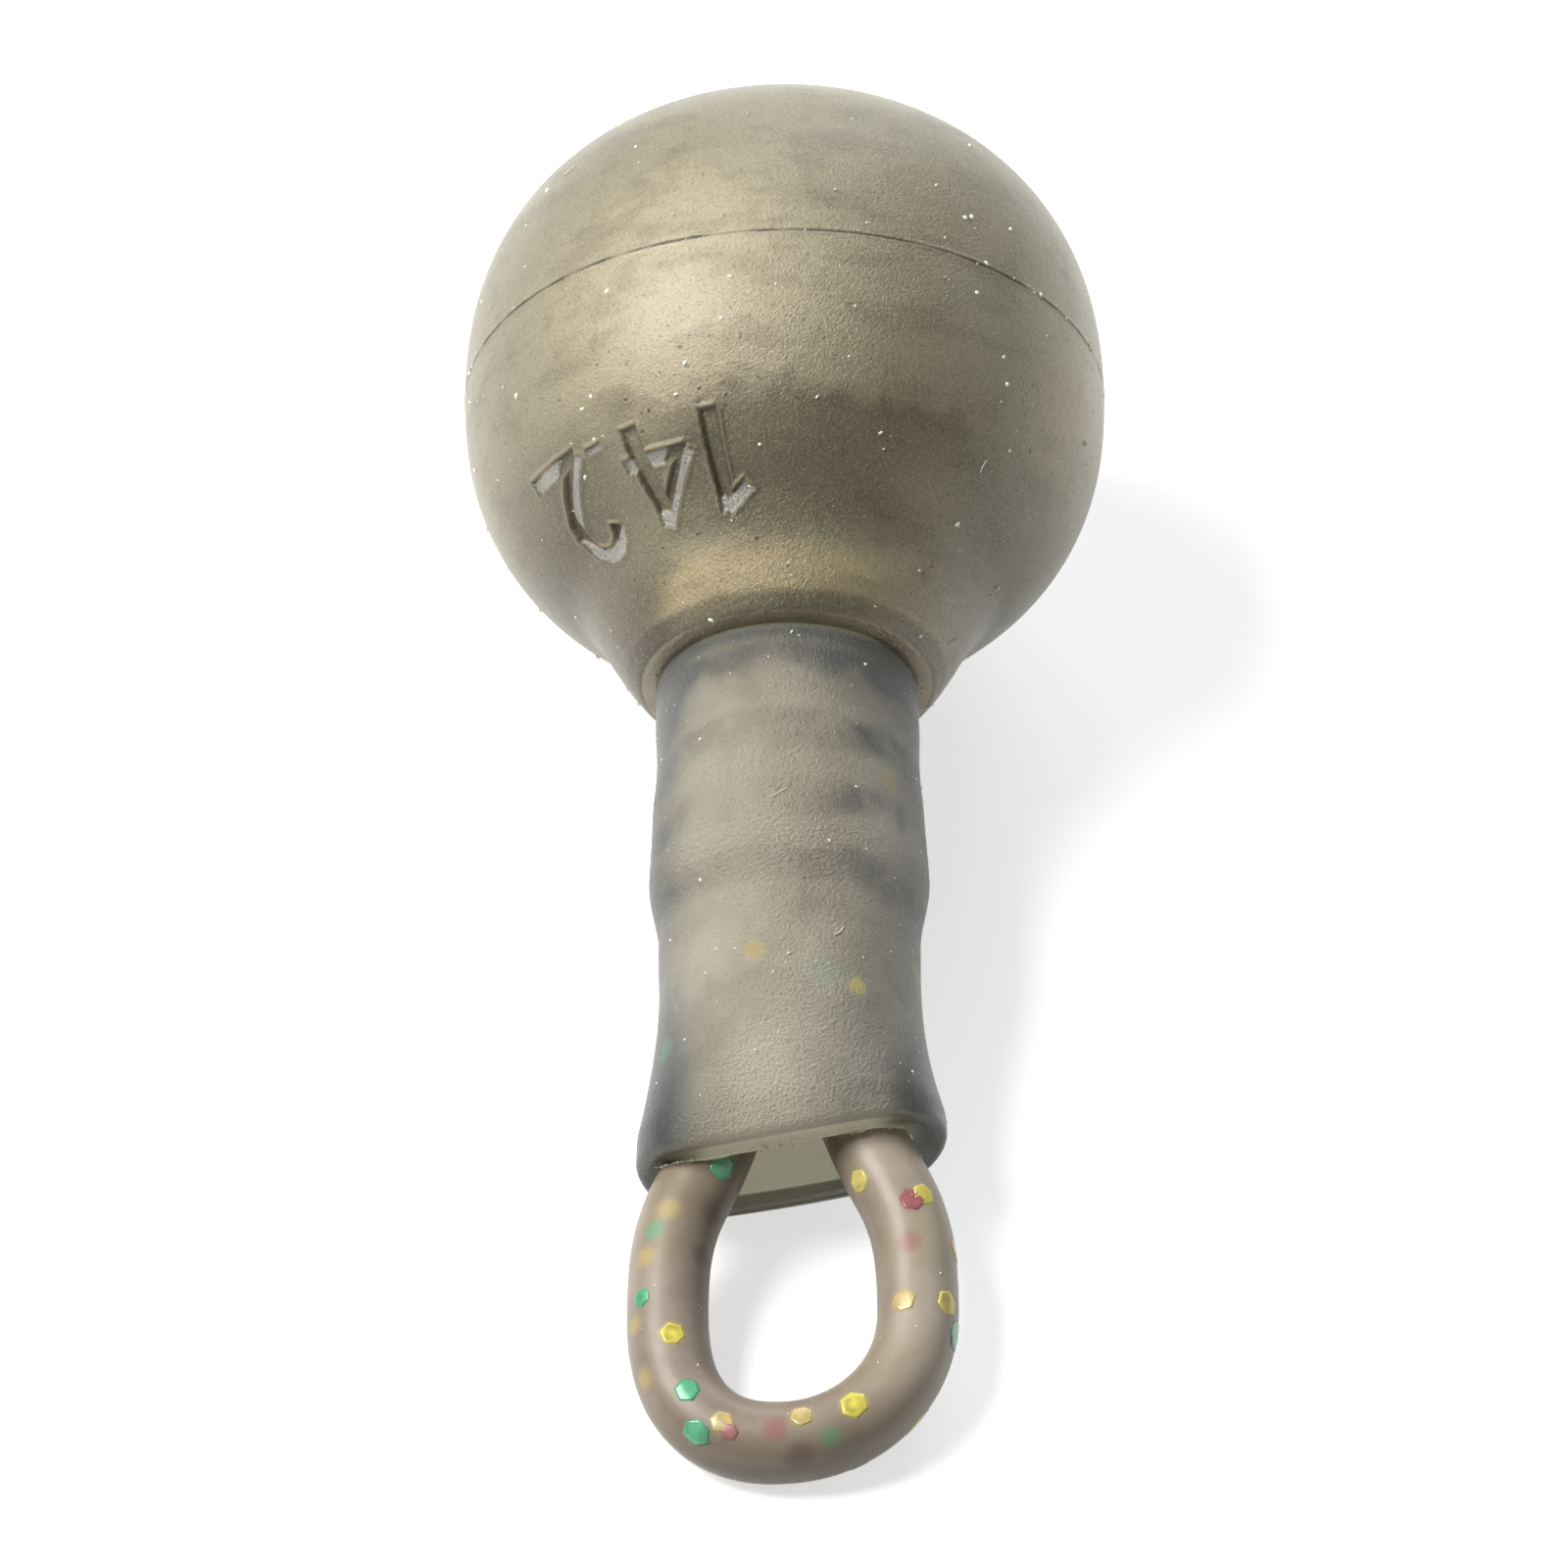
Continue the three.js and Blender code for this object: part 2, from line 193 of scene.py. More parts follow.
class CordSettings(bpy.types.PropertyGroup):
    """Sizes of the loop cord and of the flakes in it."""

    radius: length("Radius", "Radius of the cord", 0.885)
    start: length("Start", "Reach of the cord's cut ends", 13.56)
    leg_half: length("Leg spacing", "Half spacing of the legs in the sleeve", 0.965)
    flex_reach: length("Bend reach", "Where the loop bends at the mouth", 20.24)
    flex_half: length("Bend spacing", "Half spacing of the legs there", 2.2)
    spread: turn("Spread", "Angle at which each leg leaves the mouth", 25.5)
    half_width: length("Half width", "Half width of the loop", 2.7)
    straight: length("Straight", "From the bend to the widest place", 2.95)
    bight: length("Bight", "Depth of the loop's end", 3.1)
    fullness: FloatProperty(
        name="Fullness", description="2 is a half ellipse, more is fuller", default=2.2
    )
    lean: length("Lean", "Sideways shift of the lowest point", 0.28)
    flake_radius: length("Flake radius", "Radius of a six-sided flake", 0.28)
    hidden_flakes: IntProperty(
        name="More flakes", description="Flakes on the hidden sides", default=34
    )


class FinishSettings(bpy.types.PropertyGroup):
    """Colours of the materials."""

    coat: colour("Coat", "Soft olive coat", 139, 136, 114)
    # Also used as a painted highlight on the digits' raised flash.
    coat_warm: colour("Coat, warm", "Where the coat is thin and warmer", 168, 155, 127)
    # Painted reflection of the golden ring round the neck; also the colour of the coat's
    # pale grain flecks.
    coat_gold_and_sheen: colour("Coat, neck", "Rubbed golden ring at the neck", 186, 170, 132)
    # Painted light: a pale highlight patch on the ball's upper left, and a lighter ring on
    # the neck's end face.
    coat_painted_light: colour("Coat, rubbed", "Pale rubbed patch on the ball", 196, 184, 158)
    # Painted shade on the ball's sides, crease and neck rim and a painted dark reflection
    # on its lower front; also its darker worn patches and grain.
    coat_dark: colour("Coat, dark", "Handled and shaded patches", 74, 69, 53)
    # Colour of the darkened parting line and digits, and of the stem's darker flow.
    groove: colour("Groove", "Dirt in the parting line and digits", 50, 46, 36)
    # Painted highlight on the loop-ward ends of the sunk digits.
    glint: colour("Glint", "Smooth ends of the sunk digits", 176, 174, 168)
    sleeve: colour("Sleeve", "Smoky silicone", 146, 141, 122)
    # Painted shade, over the gaps between the rings, at the top end, down the sides and on
    # the cut face.
    sleeve_shade: colour("Sleeve, dark", "Where the silicone lies over a gap", 74, 78, 80)
    # Thick silicone at the mouth's sides, with painted shade.
    sleeve_deep: colour("Sleeve, deep", "Thick sides of the mouth", 50, 54, 57)
    # Paler clouds and the lands of the rings seen through; also painted light and painted
    # sheen on the sleeve and the cord.
    sleeve_pale_and_sheen: colour("Sleeve, light", "Where it lies on a ring", 196, 189, 170)
    # Also the colour of the painted glow in the bore and on the cut face.
    bore: colour("Bore", "Inside of the sleeve", 190, 188, 166)
    cut_edge: colour("Cut edge", "Ragged inner edge of the cut", 214, 209, 186)
    cut_face: colour("Cut face", "Cut end of the silicone", 178, 173, 142)
    # Painted shade on the cut face's lower side and the bore's lower rim; also a dark nick.
    cut_dark: colour("Cut face, low", "Cut end on the lower side", 104, 102, 86)
    cord: colour("Cord", "Taupe elastomer", 170, 156, 143)
    # Painted shade on the cord's inner side, lower end and left leg; also its darker
    # clouds.
    cord_dark: colour("Cord, dark", "Thicker parts of the cord", 112, 98, 86)
    cord_olive: colour("Cord, olive", "Clearer parts of the cord", 150, 138, 104)
    gold: colour("Gold flake", "Gold flakes", 200, 178, 100)
    yellow: colour("Yellow flake", "Bright yellow flakes", 216, 202, 78)
    green: colour("Green flake", "Green flakes", 62, 172, 124)
    red: colour("Red flake", "Red flakes", 158, 60, 72)
    plum: colour("Dark flake", "Dark flakes", 92, 64, 68)
    lead: colour("Lead", "Cast lead", 104, 106, 110)
    stem: colour("Stem", "Moulded olive plastic", 112, 106, 84)
    dust: colour("Dust", "Specks and fibres", 236, 234, 224)
    floor: colour("Floor", "Pale floor", 236, 236, 236)


class StudioSettings(bpy.types.PropertyGroup):
    """Camera and lamps."""

    distance: length("Camera distance", "From the object to the camera", 303.6)
    tilt: turn("Camera tilt", "Angle between the view and the tail's upright", 30.86)
    roll: turn("Camera roll", "Turn about the line of sight", -0.51)
    look_reach: length("Look reach", "Reach of the point in the image's middle", 9.887)
    look_side: length("Look side", "Sideways place of that point", -0.0888)
    lens: FloatProperty(
        name="Lens", description="Focal length", default=316.91, unit="CAMERA"
    )
    key: share("Key", "Share of a white surface's light from the left lamp", 1.1, 4.0)
    back: share("Back", "Share from the lamp behind", 0.22, 4.0)
    side: share("Side", "Share from the lamp on the right", 0.03, 4.0)
    room: share("Room", "Light from all round", 0.13, 4.0)


# ---------------------------------------------------------------- shaders


def grey(level):
    return (level, level, level, 1.0)


class Wire:
    """A number in a shader, on which Python's own arithmetic adds Math nodes."""

    def __init__(self, shader, socket):
        self.shader = shader
        self.socket = socket

    def math(self, operation, *values, clamp=False):
        settings = {"operation": operation, "use_clamp": clamp}
        return self.shader.node("ShaderNodeMath", settings, dict(enumerate(values)))

    def __add__(self, other):
        return self.math("ADD", self, other)

    def __radd__(self, other):
        return self.math("ADD", other, self)

    def __sub__(self, other):
        return self.math("SUBTRACT", self, other)

    def __rsub__(self, other):
        return self.math("SUBTRACT", other, self)

    def __mul__(self, other):
        return self.math("MULTIPLY", self, other)

    def __rmul__(self, other):
        return self.math("MULTIPLY", other, self)

    def clamped(self):
        return self.math("ADD", self, 0.0, clamp=True)

    def sine(self):
        return self.math("SINE", self)

    def absolute(self):
        return self.math("ABSOLUTE", self)

    def ramp(self, low, high):
        """0 at low, 1 at high, smooth between; low may be the larger."""
        settings = {"interpolation_type": "SMOOTHSTEP"}
        start, end = (0.0, 1.0) if low < high else (1.0, 0.0)
        inputs = dict(enumerate([self, min(low, high), max(low, high), start, end]))
        return self.shader.node("ShaderNodeMapRange", settings, inputs)


class Shader:
    """A material, its node tree and the nodes that every finish here uses."""

    def __init__(self, name):
        self.material = bpy.data.materials.new(name)
        self.material.use_nodes = True
        self.tree = self.material.node_tree
        self.tree.nodes.clear()

    def node(self, kind, settings=None, inputs=None, output=0):
        added = self.tree.nodes.new(kind)
        for name, value in (settings or {}).items():
            setattr(added, name, value)
        for key, value in (inputs or {}).items():
            if isinstance(value, Wire):
                self.tree.links.new(value.socket, added.inputs[key])
            else:
                added.inputs[key].default_value = value
        return None if output is None else Wire(self, added.outputs[output])

    def painted(self, name, output="Fac"):
        """What add_mesh keeps on the points of a mesh under this name."""
        return self.node("ShaderNodeAttribute", {"attribute_name": name}, output=output)

    def place(self):
        """Millimetres in the part's own frame, kept on the mesh."""
        return self.painted("place", "Vector")

    def axes(self, vector):
        split = self.node("ShaderNodeSeparateXYZ", {}, {0: vector})
        return [Wire(self, output) for output in split.socket.node.outputs]

    def stretched(self, vector, x, y, z):
        settings = {"operation": "MULTIPLY"}
        return self.node("ShaderNodeVectorMath", settings, {0: vector, 1: (x, y, z)})

    def noise(self, vector, scale, detail=2.0, roughness=0.5, distortion=0.0):
        inputs = {"Vector": vector, "Scale": scale, "Detail": detail}
        inputs |= {"Roughness": roughness, "Distortion": distortion}
        return self.node("ShaderNodeTexNoise", {}, inputs)

    def mix(self, amount, first, second):
        inputs = {0: amount, 6: first, 7: second}
        return self.node("ShaderNodeMix", {"data_type": "RGBA"}, inputs, output=2)

    def layered(self, base, *layers):
        """Lays (amount, colour) pairs over a base colour, one after the other."""
        for amount, tone in layers:
            base = self.mix(amount, base, tone)
        return base

    def spot(self, centre, near, far):
        """1 at a place on the surface, fading to 0 at the far distance."""
        settings, ends = {"operation": "DISTANCE"}, {0: self.place(), 1: centre}
        away = self.node("ShaderNodeVectorMath", settings, ends, "Value")
        return away.ramp(far, near)

    def bump(self, height, distance, strength=1.0):
        inputs = {"Height": height, "Distance": distance, "Strength": strength}
        return self.node("ShaderNodeBump", {}, inputs)

    def finish(self, **inputs):
        """Ends the material in a Principled BSDF with these sockets."""
        named = {key.replace("_", " "): value for key, value in inputs.items()}
        surface = self.node("ShaderNodeBsdfPrincipled", {}, named)
        self.node("ShaderNodeOutputMaterial", {}, {"Surface": surface}, None)
        return self.material


# ---------------------------------------------------------------- frame


def tail_frame():
    """Matrix from the part's own millimetres to the row frame's metres.

    Its origin is the middle of the ball's parting line, and +Y points to the crown.
    """
    across = Vector((1.0, 0.0, 0.0))
    upright = across.cross(TAIL_AXIS)
    turned = Matrix((across, TAIL_AXIS, upright)).transposed().to_4x4()
    origin = BEND_PLACE + TAIL_AXIS * bpy.context.scene.back_lead_cord.flex_reach
    return Matrix.Translation(origin) @ turned @ Matrix.Scale(MM, 4)


class Sizes:
    """The settings of one group, with its lengths in millimetres."""

    def __init__(self, group):
        for name, setting in group.bl_rna.properties.items():
            value = getattr(group, name)
            setattr(self, name, value / MM if setting.unit == "LENGTH" else value)


def smooth(value, low, high):
    t = np.clip((value - low) / (high - low), 0.0, 1.0)
    return t * t * (3 - 2 * t)


def hump(value, centre, half_width):
    return np.exp(-(((value - centre) / half_width) ** 2))


def ripple(points, seed, scale, waves=5):
    """Smooth random height over points, between about -1 and 1."""
    chance = np.random.default_rng(seed)
    total = np.zeros(points.shape[:-1])
    for _ in range(waves):
        direction = chance.normal(size=3)
        direction *= scale * chance.uniform(0.6, 1.6) / np.linalg.norm(direction)
        total += np.sin(points @ direction + chance.uniform(0, 2 * math.pi))
    return total / waves


# ---------------------------------------------------------------- meshes


def add_mesh(name, points, faces, material, **painted):
    """A mesh object from millimetre points, with its own place and paint kept on it."""
    points = np.asarray(points, float).reshape(-1, 3)
    mesh = bpy.data.meshes.new(name)
    mesh.from_pydata(points.tolist(), [], faces)
    mesh.validate()
    store = mesh.attributes.new("place", "FLOAT_VECTOR", "POINT")
    own = points * np.array([1.0, -1.0, 1.0])
    store.data.foreach_set("vector", own.astype(np.float32).ravel())
    for key, values in painted.items():
        values = np.asarray(values, np.float32)
        if values.ndim == 1:
            mesh.attributes.new(key, "FLOAT", "POINT").data.foreach_set("value", values)
        else:
            paint = mesh.attributes.new(key, "FLOAT_COLOR", "POINT")
            paint.data.foreach_set("color", values.ravel())
    mesh.transform(tail_frame())
    mesh.polygons.foreach_set("use_smooth", [True] * len(mesh.polygons))
    mesh.materials.append(material)
    mesh.update()
    return placed(name, mesh)


def placed(name, data):
    """A new object that holds the mesh, lamp or camera, in the open collection."""
    made = bpy.data.objects.new(name, data)
    bpy.context.collection.objects.link(made)
    return made


def ring_faces(rows, columns, closed_rows=False):
    """Quads over rows of points that each run once round."""
    faces = []
    for i in range(rows if closed_rows else rows - 1):
        here, there = i * columns, ((i + 1) % rows) * columns
        for j in range(columns):
            k = (j + 1) % columns
            faces.append((here + j, there + j, there + k, here + k))
    return faces


def capped_faces(rows, columns):
    """The same, with both ends closed by fans on two more points at the end."""
    faces = ring_faces(rows, columns)
    first = rows * columns
    for j in range(columns):
        k = (j + 1) % columns
        faces.append((first, j, k))
        faces.append((first + 1, first - columns + k, first - columns + j))
    return faces


def revolved(reaches, radii, turns):
    """Points of a surface turned about the axis: one row per reach."""
    across = np.sin(turns)[None, :] * radii[:, None]
    upright = np.cos(turns)[None, :] * radii[:, None]
    along = np.repeat(-reaches[:, None], len(turns), axis=1)
    return np.stack([across, along, upright], axis=-1)


def spaced(start, stop, coarse, zones):
    """Places from start to stop: coarse apart, closer in zones of (low, high, step)."""
    places = [start]
    while places[-1] < stop:
        here = places[-1]
        step = coarse
        for low, high, fine in zones:
            away = max(low - here, here - high, 0.0)
            step = min(step, fine + away * 0.35)
        places.append(here + step)
    places[-1] = stop
    return np.array(places)


def run_along(points):
    steps = np.linalg.norm(np.diff(points, axis=0), axis=1)
    return np.concatenate([[0], np.cumsum(steps)])


def resampled(points, places):
    run = run_along(points)
    columns = [np.interp(places, run, points[:, k]) for k in range(points.shape[1])]
    return np.stack(columns, axis=-1)


def unit(vectors):
    """The same directions, with a length of 1."""
    return vectors / np.linalg.norm(vectors, axis=-1, keepdims=True)


def side_of(points):
    """Unit vectors square to a flat polyline of (radius, reach), to its outside."""
    along = unit(np.gradient(points, axis=0))
    return np.stack([along[:, 1], -along[:, 0]], axis=-1)


def rounded(points, reach):
    """A polyline with its corners rounded, by a moving mean over the given length."""
    points = np.asarray(points, float)
    total = run_along(points)[-1]
    line = resampled(points, np.linspace(0, total, int(total / 0.01) + 2))
    half = max(1, int(reach / 0.02))
    before, after = 2 * line[0] - line[half:0:-1], 2 * line[-1] - line[-2 : -half - 2 : -1]
    padded = np.vstack([before, line, after])
    kernel = np.ones(2 * half + 1) / (2 * half + 1)
    return np.stack([np.convolve(column, kernel, "valid") for column in padded.T], axis=-1)


# ---------------------------------------------------------------- ball coat


ROOT_REACH = 5.25  # where the neck's hollow is, from the parting line
STROKE_HALF = 0.19  # half the width of a digit's stroke


def cubic(points, count):
    t = np.linspace(0, 1, count)[:, None]
    a, b, c, d = [np.array(p, float) for p in points]
    return (1 - t) ** 3 * a + 3 * (1 - t) ** 2 * t * b + 3 * (1 - t) * t**2 * c + t**3 * d


def coat_outline(ball):
    """Outside of the coat as (radius, reach), from the crown to the neck's end face."""
    power = 2 / ball.fullness
    angle = np.linspace(0, math.pi / 2, 500)
    across, along = ball.radius * np.sin(angle) ** power, np.cos(angle) ** power
    crown = np.stack([across, -ball.crown_height * along], -1)
    lower = np.stack([across, ball.neck_height * along], -1)[::-1]
    root, end_face = ball.root_radius, ball.neck_reach
    lower = lower[lower[:, 0] > root]
    along = (1 - (root / ball.radius) ** ball.fullness) ** (1 / ball.fullness)
    root_reach = ball.neck_height * along
    dome = cubic([
        (root, root_reach),
        (ball.hollow_radius, root_reach + ball.hollow_rise),
        (ball.shoulder_radius, root_reach + ball.shoulder_rise),
        (ball.edge_radius, end_face),
    ], 120)
    side = rounded(np.vstack([lower, dome[1:]]), 0.3)
    last = side[-60:]
    end = rounded(np.vstack([last, [[ball.hole_radius, end_face]]]), 0.22)
    return np.vstack([crown[:-1], side[: -len(last)], end])


def digit_strokes(text, height):
    """Centre lines of plain digits, as segments, and the width of the whole number."""
    angles = np.radians(165 - 25 * np.arange(9))
    bow = list(zip(0.28 + 0.26 * np.cos(angles), 0.73 + 0.27 * np.sin(angles)))
    shapes = {
        "1": (0.5, [(0.38, 0.0), (0.38, 1.0), (0.12, 0.8)]),
        "2": (0.56, [*bow, (0.0, 0.0), (0.56, 0.0)]),
        "4": (0.62, [(0.46, 0.0), (0.46, 1.0), (0.0, 0.34), (0.6, 0.34)]),
        ".": (0.14, [(0.07, 0.02), (0.07, 0.03)]),
    }
    gap = 0.17
    segments = []
    left = 0.0
    for letter in text:
        width, line = shapes[letter]
        for (ax, ay), (bx, by) in zip(line, line[1:]):
            segments.append((ax + left, ay, bx + left, by))
        left += width + gap
    return [tuple(v * height for v in line) for line in segments], (left - gap) * height


def stroke_distance(u, v, segments, half_width):
    """How far places (u, v) lie outside the nearest flat-ended stroke; negative inside."""
    nearest = np.full(u.shape, 1e3)
    for ax, ay, bx, by in segments:
        run = max(math.hypot(bx - ax, by - ay), 1e-6)
        dx, dy = (bx - ax) / run, (by - ay) / run
        along = (u - ax) * dx + (v - ay) * dy
        aside = np.abs((v - ay) * dx - (u - ax) * dy) - half_width
        beyond = np.abs(along - run / 2) - run / 2 - half_width * 0.4
        away = np.hypot(np.maximum(aside, 0), np.maximum(beyond, 0))
        nearest = np.minimum(nearest, away + np.minimum(np.maximum(aside, beyond), 0))
    return nearest


def coat_surface(ball):
    """Closed skin of the coat, with the parting ridge, the sunk number, their darkened
    lines and their painted highlights.
    """
    outline = coat_outline(ball)
    run = run_along(outline)
    marks = [0.0, ball.number_reach, ROOT_REACH]
    seam_run, number_run, root_run = np.interp(marks, outline[:, 1], run)
    high = ball.number_height
    zones = [
        (seam_run - 0.3, seam_run + 0.3, 0.022),
        (number_run - high * 0.64, number_run + high * 0.64, 0.028),
        (root_run - 0.3, root_run + 0.9, 0.09),
        (run[-1] - 3.0, run[-1], 0.07),
    ]
    places = spaced(0.0, run[-1], 0.2, zones)
    outside = resampled(outline, places)
    segments, width = digit_strokes(ball.number, high)
    middle_radius = float(np.interp(number_run, run, outline[:, 0]))
    half = math.degrees(width / 2 / middle_radius) + 5
    middle = math.degrees(ball.number_turn)
    turns = spaced(middle - 180, middle + 180, 2.4, [(middle - half, middle + half, 0.3)])
    turns = np.radians(turns)[:-1]

    grid = revolved(outside[:, 1], outside[:, 0], turns)
    square = side_of(outside)
    normals = revolved(square[:, 1], square[:, 0], turns)
    across = -middle_radius * (turns - ball.number_turn)[None, :] + width / 2
    up = (places - number_run)[:, None] + high / 2
    wander = 0.03 * ripple(grid, 11, 3.0)
    u, v = across + 0 * up + wander, up + 0 * across - wander

    def within(lower, outer, inner):
        """1 well inside the strokes of the lowered number, 0 outside them."""
        outside = stroke_distance(u, v + lower, segments, STROKE_HALF)
        return 1 - smooth(outside, outer, inner)

    distance = stroke_distance(u, v, segments, STROKE_HALF)
    sunk = within(0.0, -0.07, 0.02)
    # Painted highlight on the loop-ward ends of the strokes, which are also sunk less deep
    # there.
    glint = np.clip(sunk - within(0.34 + 0.12 * ripple(grid, 12, 2.5), -0.06, 0.0), 0, 1)
    # Raised flash along the crown side of each stroke, also lightened there as a painted
    # highlight.
    flash = np.clip(within(0.13, -0.08, 0.0) - sunk, 0, 1)
    broken = np.clip(0.8 + 0.7 * ripple(grid, 14, 5.0), 0, 1.3)
    from_seam = (places - seam_run)[:, None] + 0.03 * ripple(grid, 5, 0.7)
    patchy = 1 + 0.45 * ripple(grid, 7, 1.1) + 0.4 * ripple(grid, 8, 5.0)
    dashes = np.clip(0.9 + 1.1 * ripple(grid, 9, 7.0), 0.15, 1.3)
    groove = hump(from_seam, 0.0, 0.028) * np.clip(patchy, 0.4, 1.3) * dashes
    lift = (
        ball.ridge_height * hump(from_seam, 0.0, 0.08) * patchy
        - ball.groove_depth * groove
        - ball.number_depth * (sunk - 0.6 * glint)
        + 0.03 * hump(distance, 0.05, 0.05) * broken
        + 0.05 * flash * broken
        + 0.012 * hump(distance, 0.05, 0.5) * ripple(grid, 13, 16.0, 9)
        + 0.012 * ripple(grid, 3, 0.5)
    )
    lift[places > run[-1] - 2.4] = 0.0
    grid = grid + normals * lift[..., None]
    line = hump(distance, -0.02, 0.045) * np.clip(broken, 0.3, 1.0)
    # Darker in the parting line's groove, along the digits' edges and on their sunk floors.
    dirt = np.clip(0.85 * groove + 0.1 * sunk + 0.5 * line * (1 - glint), 0, 1)

    inset = ball.wall
    inner = outside[::6] - square[::6] * inset
    end_face, hole = ball.neck_reach, ball.hole_radius
    back = end_face - ball.face_wall
    inner = inner[(inner[:, 1] < back) & (inner[:, 0] > 0.3)]
    rim = [[hole, end_face - 0.02], [hole, back], [inner[-1, 0], back]]
    inside = np.vstack([rim, inner[::-1]])
    inner_grid = revolved(inside[:, 1], inside[:, 0], turns)
    crown = ball.crown_height
    poles = [[0, crown, 0], [0, crown - inset, 0]]
    points = np.vstack([grid[1:].reshape(-1, 3), inner_grid.reshape(-1, 3), poles])
    faces = capped_faces(len(grid) - 1 + len(inside), len(turns))
    plain = np.zeros(len(points) - dirt[1:].size)
    painted = {"dirt": dirt, "glint": glint, "flash": flash}
    painted = {key: np.append(value[1:].ravel(), plain) for key, value in painted.items()}
    return points, faces, painted


def coat_material(finish):
    """Satin olive coat: cloudy, with fine pits, worn patches and darkened lines, painted
    shade, and painted reflections and highlights.
    """
    shader = Shader("olive coat")
    place = shader.place()
    across, reach, upright = shader.axes(place)
    clouds = shader.noise(place, 0.28, 3.0, 0.55, 0.4)
    patches = shader.noise(place, 1.1, 4.0, 0.6)
    fine = shader.noise(place, 9.0, 3.0, 0.6)
    grain = shader.noise(place, 17.0, 3.0, 0.7)
    voronoi = {"Vector": place, "Scale": 3.2}
    pits = shader.node("ShaderNodeTexVoronoi", {"feature": "F1"}, voronoi)
    streaks = shader.noise(shader.stretched(place, 0.6, 1.7, 0.6), 0.75, 2.0, 0.6)
    warm = (clouds * 1.6 + patches * 0.5 - 0.6).clamped()
    # Painted reflection: a golden ring round the neck.
    neck = reach.ramp(5.8, 6.5) * reach.ramp(7.3, 6.9) * (0.2 + patches * 1.2).clamped()
    neck = neck * (across + 0.4).absolute().ramp(3.6, 1.8)
    # Painted shade in the crease above the sleeve.
    crease = (reach + (patches - 0.5) * 0.3).ramp(6.9, 7.1)
    crease = crease * (across + 0.3).absolute().ramp(3.2, 1.8) * upright.ramp(1.0, 2.4)
    # Painted shade on the lower left and right sides and round the neck's rim.
    left_side = reach.ramp(4.8, 6.9) * across.ramp(-2.2, -3.2)
    right_side = reach.ramp(3.8, 5.4) * across.ramp(3.2, 4.2)
    rim = reach.ramp(6.95, 7.1) * (0.32 + across.absolute().ramp(1.8, 3.0) * 0.36)
    shaded = (left_side * 0.75 + right_side * 0.3 + rim).clamped()
    # Painted highlight on the ball's upper left, where the key lamp's highlight falls.
    painted_highlight = shader.spot((-2.2, 1.6, 6.2), 1.2, 5.0) * (0.5 + patches).clamped()
    # Painted shade on the ball's lower sides.
    low_side = reach.ramp(2.4, 5.0) * across.absolute().ramp(2.6, 4.8)
    worn = (patches.ramp(0.5, 0.72) * 0.22 + streaks.ramp(0.46, 0.68) * 0.24).clamped()
    uneven = reach + (patches - 0.5) * 1.1 + (fine - 0.5) * 0.25
    # Painted reflection: a dark belt over the lower front of the ball, where the dark front
    # is mirrored.
    belt = uneven.ramp(3.3, 3.8) * uneven.ramp(6.35, 5.5) * upright.ramp(1.5, 4.8)
    belt = belt * (across - 0.4).absolute().ramp(5.2, 2.0) * (0.75 + clouds * 0.5).clamped()
    near_neck = reach.ramp(4.5, 6.0) * 0.5 + 0.5
    by_belt = uneven.ramp(2.0, 3.0) * uneven.ramp(4.2, 3.4) * upright.ramp(0.0, 3.0)
    speck = pits.ramp(0.2, 0.05) * fine.ramp(0.42, 0.58) * (near_neck + by_belt).clamped()
    base = shader.layered(
        finish.coat,
        (warm * 0.5, finish.coat_warm),
        (neck * 0.9, finish.coat_gold_and_sheen),
        (crease * 0.35, finish.coat_dark),
        (shaded, finish.coat_dark),
        # Painted light on the neck's end face, against the shadow where it meets the
        # sleeve.
        (reach.ramp(7.345, 7.369) * 0.8, finish.coat_painted_light),
        (painted_highlight * 0.7, finish.coat_painted_light),
        (low_side * 0.72, finish.coat_dark),
        (worn, finish.coat_dark),
        (belt * 0.62, finish.coat_dark),
        ((shader.painted("dirt") + speck * 0.6).clamped(), finish.groove),
        (grain.ramp(0.5, 0.72) * 0.4, finish.coat_gold_and_sheen),
        (grain.ramp(0.5, 0.3) * 0.4, finish.coat_dark),
        (shader.painted("glint") * (0.35 + grain.ramp(0.3, 0.6) * 0.6), finish.glint),
        (shader.painted("flash") * 0.7, finish.coat_warm),
    )
    return shader.finish(
        Base_Color=base,
        Roughness=0.33 + patches * 0.14 + fine * 0.08,
        Normal=shader.bump(grain * 1.4 + fine * 0.9 - speck * 1.2, 0.000026),
        Metallic=0.45,
        IOR=1.45,
        Specular_IOR_Level=0.6,
        Coat_Weight=0.35,
        Coat_Roughness=0.34,
    )


def lead_material(finish):
    """Dull cast lead with a faint crust."""
    shader = Shader("cast lead")
    place = shader.node("ShaderNodeTexCoord", {}, output="Object")
    crust = shader.noise(place, 900.0, 4.0, 0.6)
    return shader.finish(
        Base_Color=shader.mix(crust.ramp(0.4, 0.7), finish.lead, (0.3, 0.3, 0.31, 1.0)),
        Roughness=0.5 + crust * 0.3,
        Metallic=0.85,
        Normal=shader.bump(crust, 0.00004, 0.6),
    )


# ---------------------------------------------------------------- stem


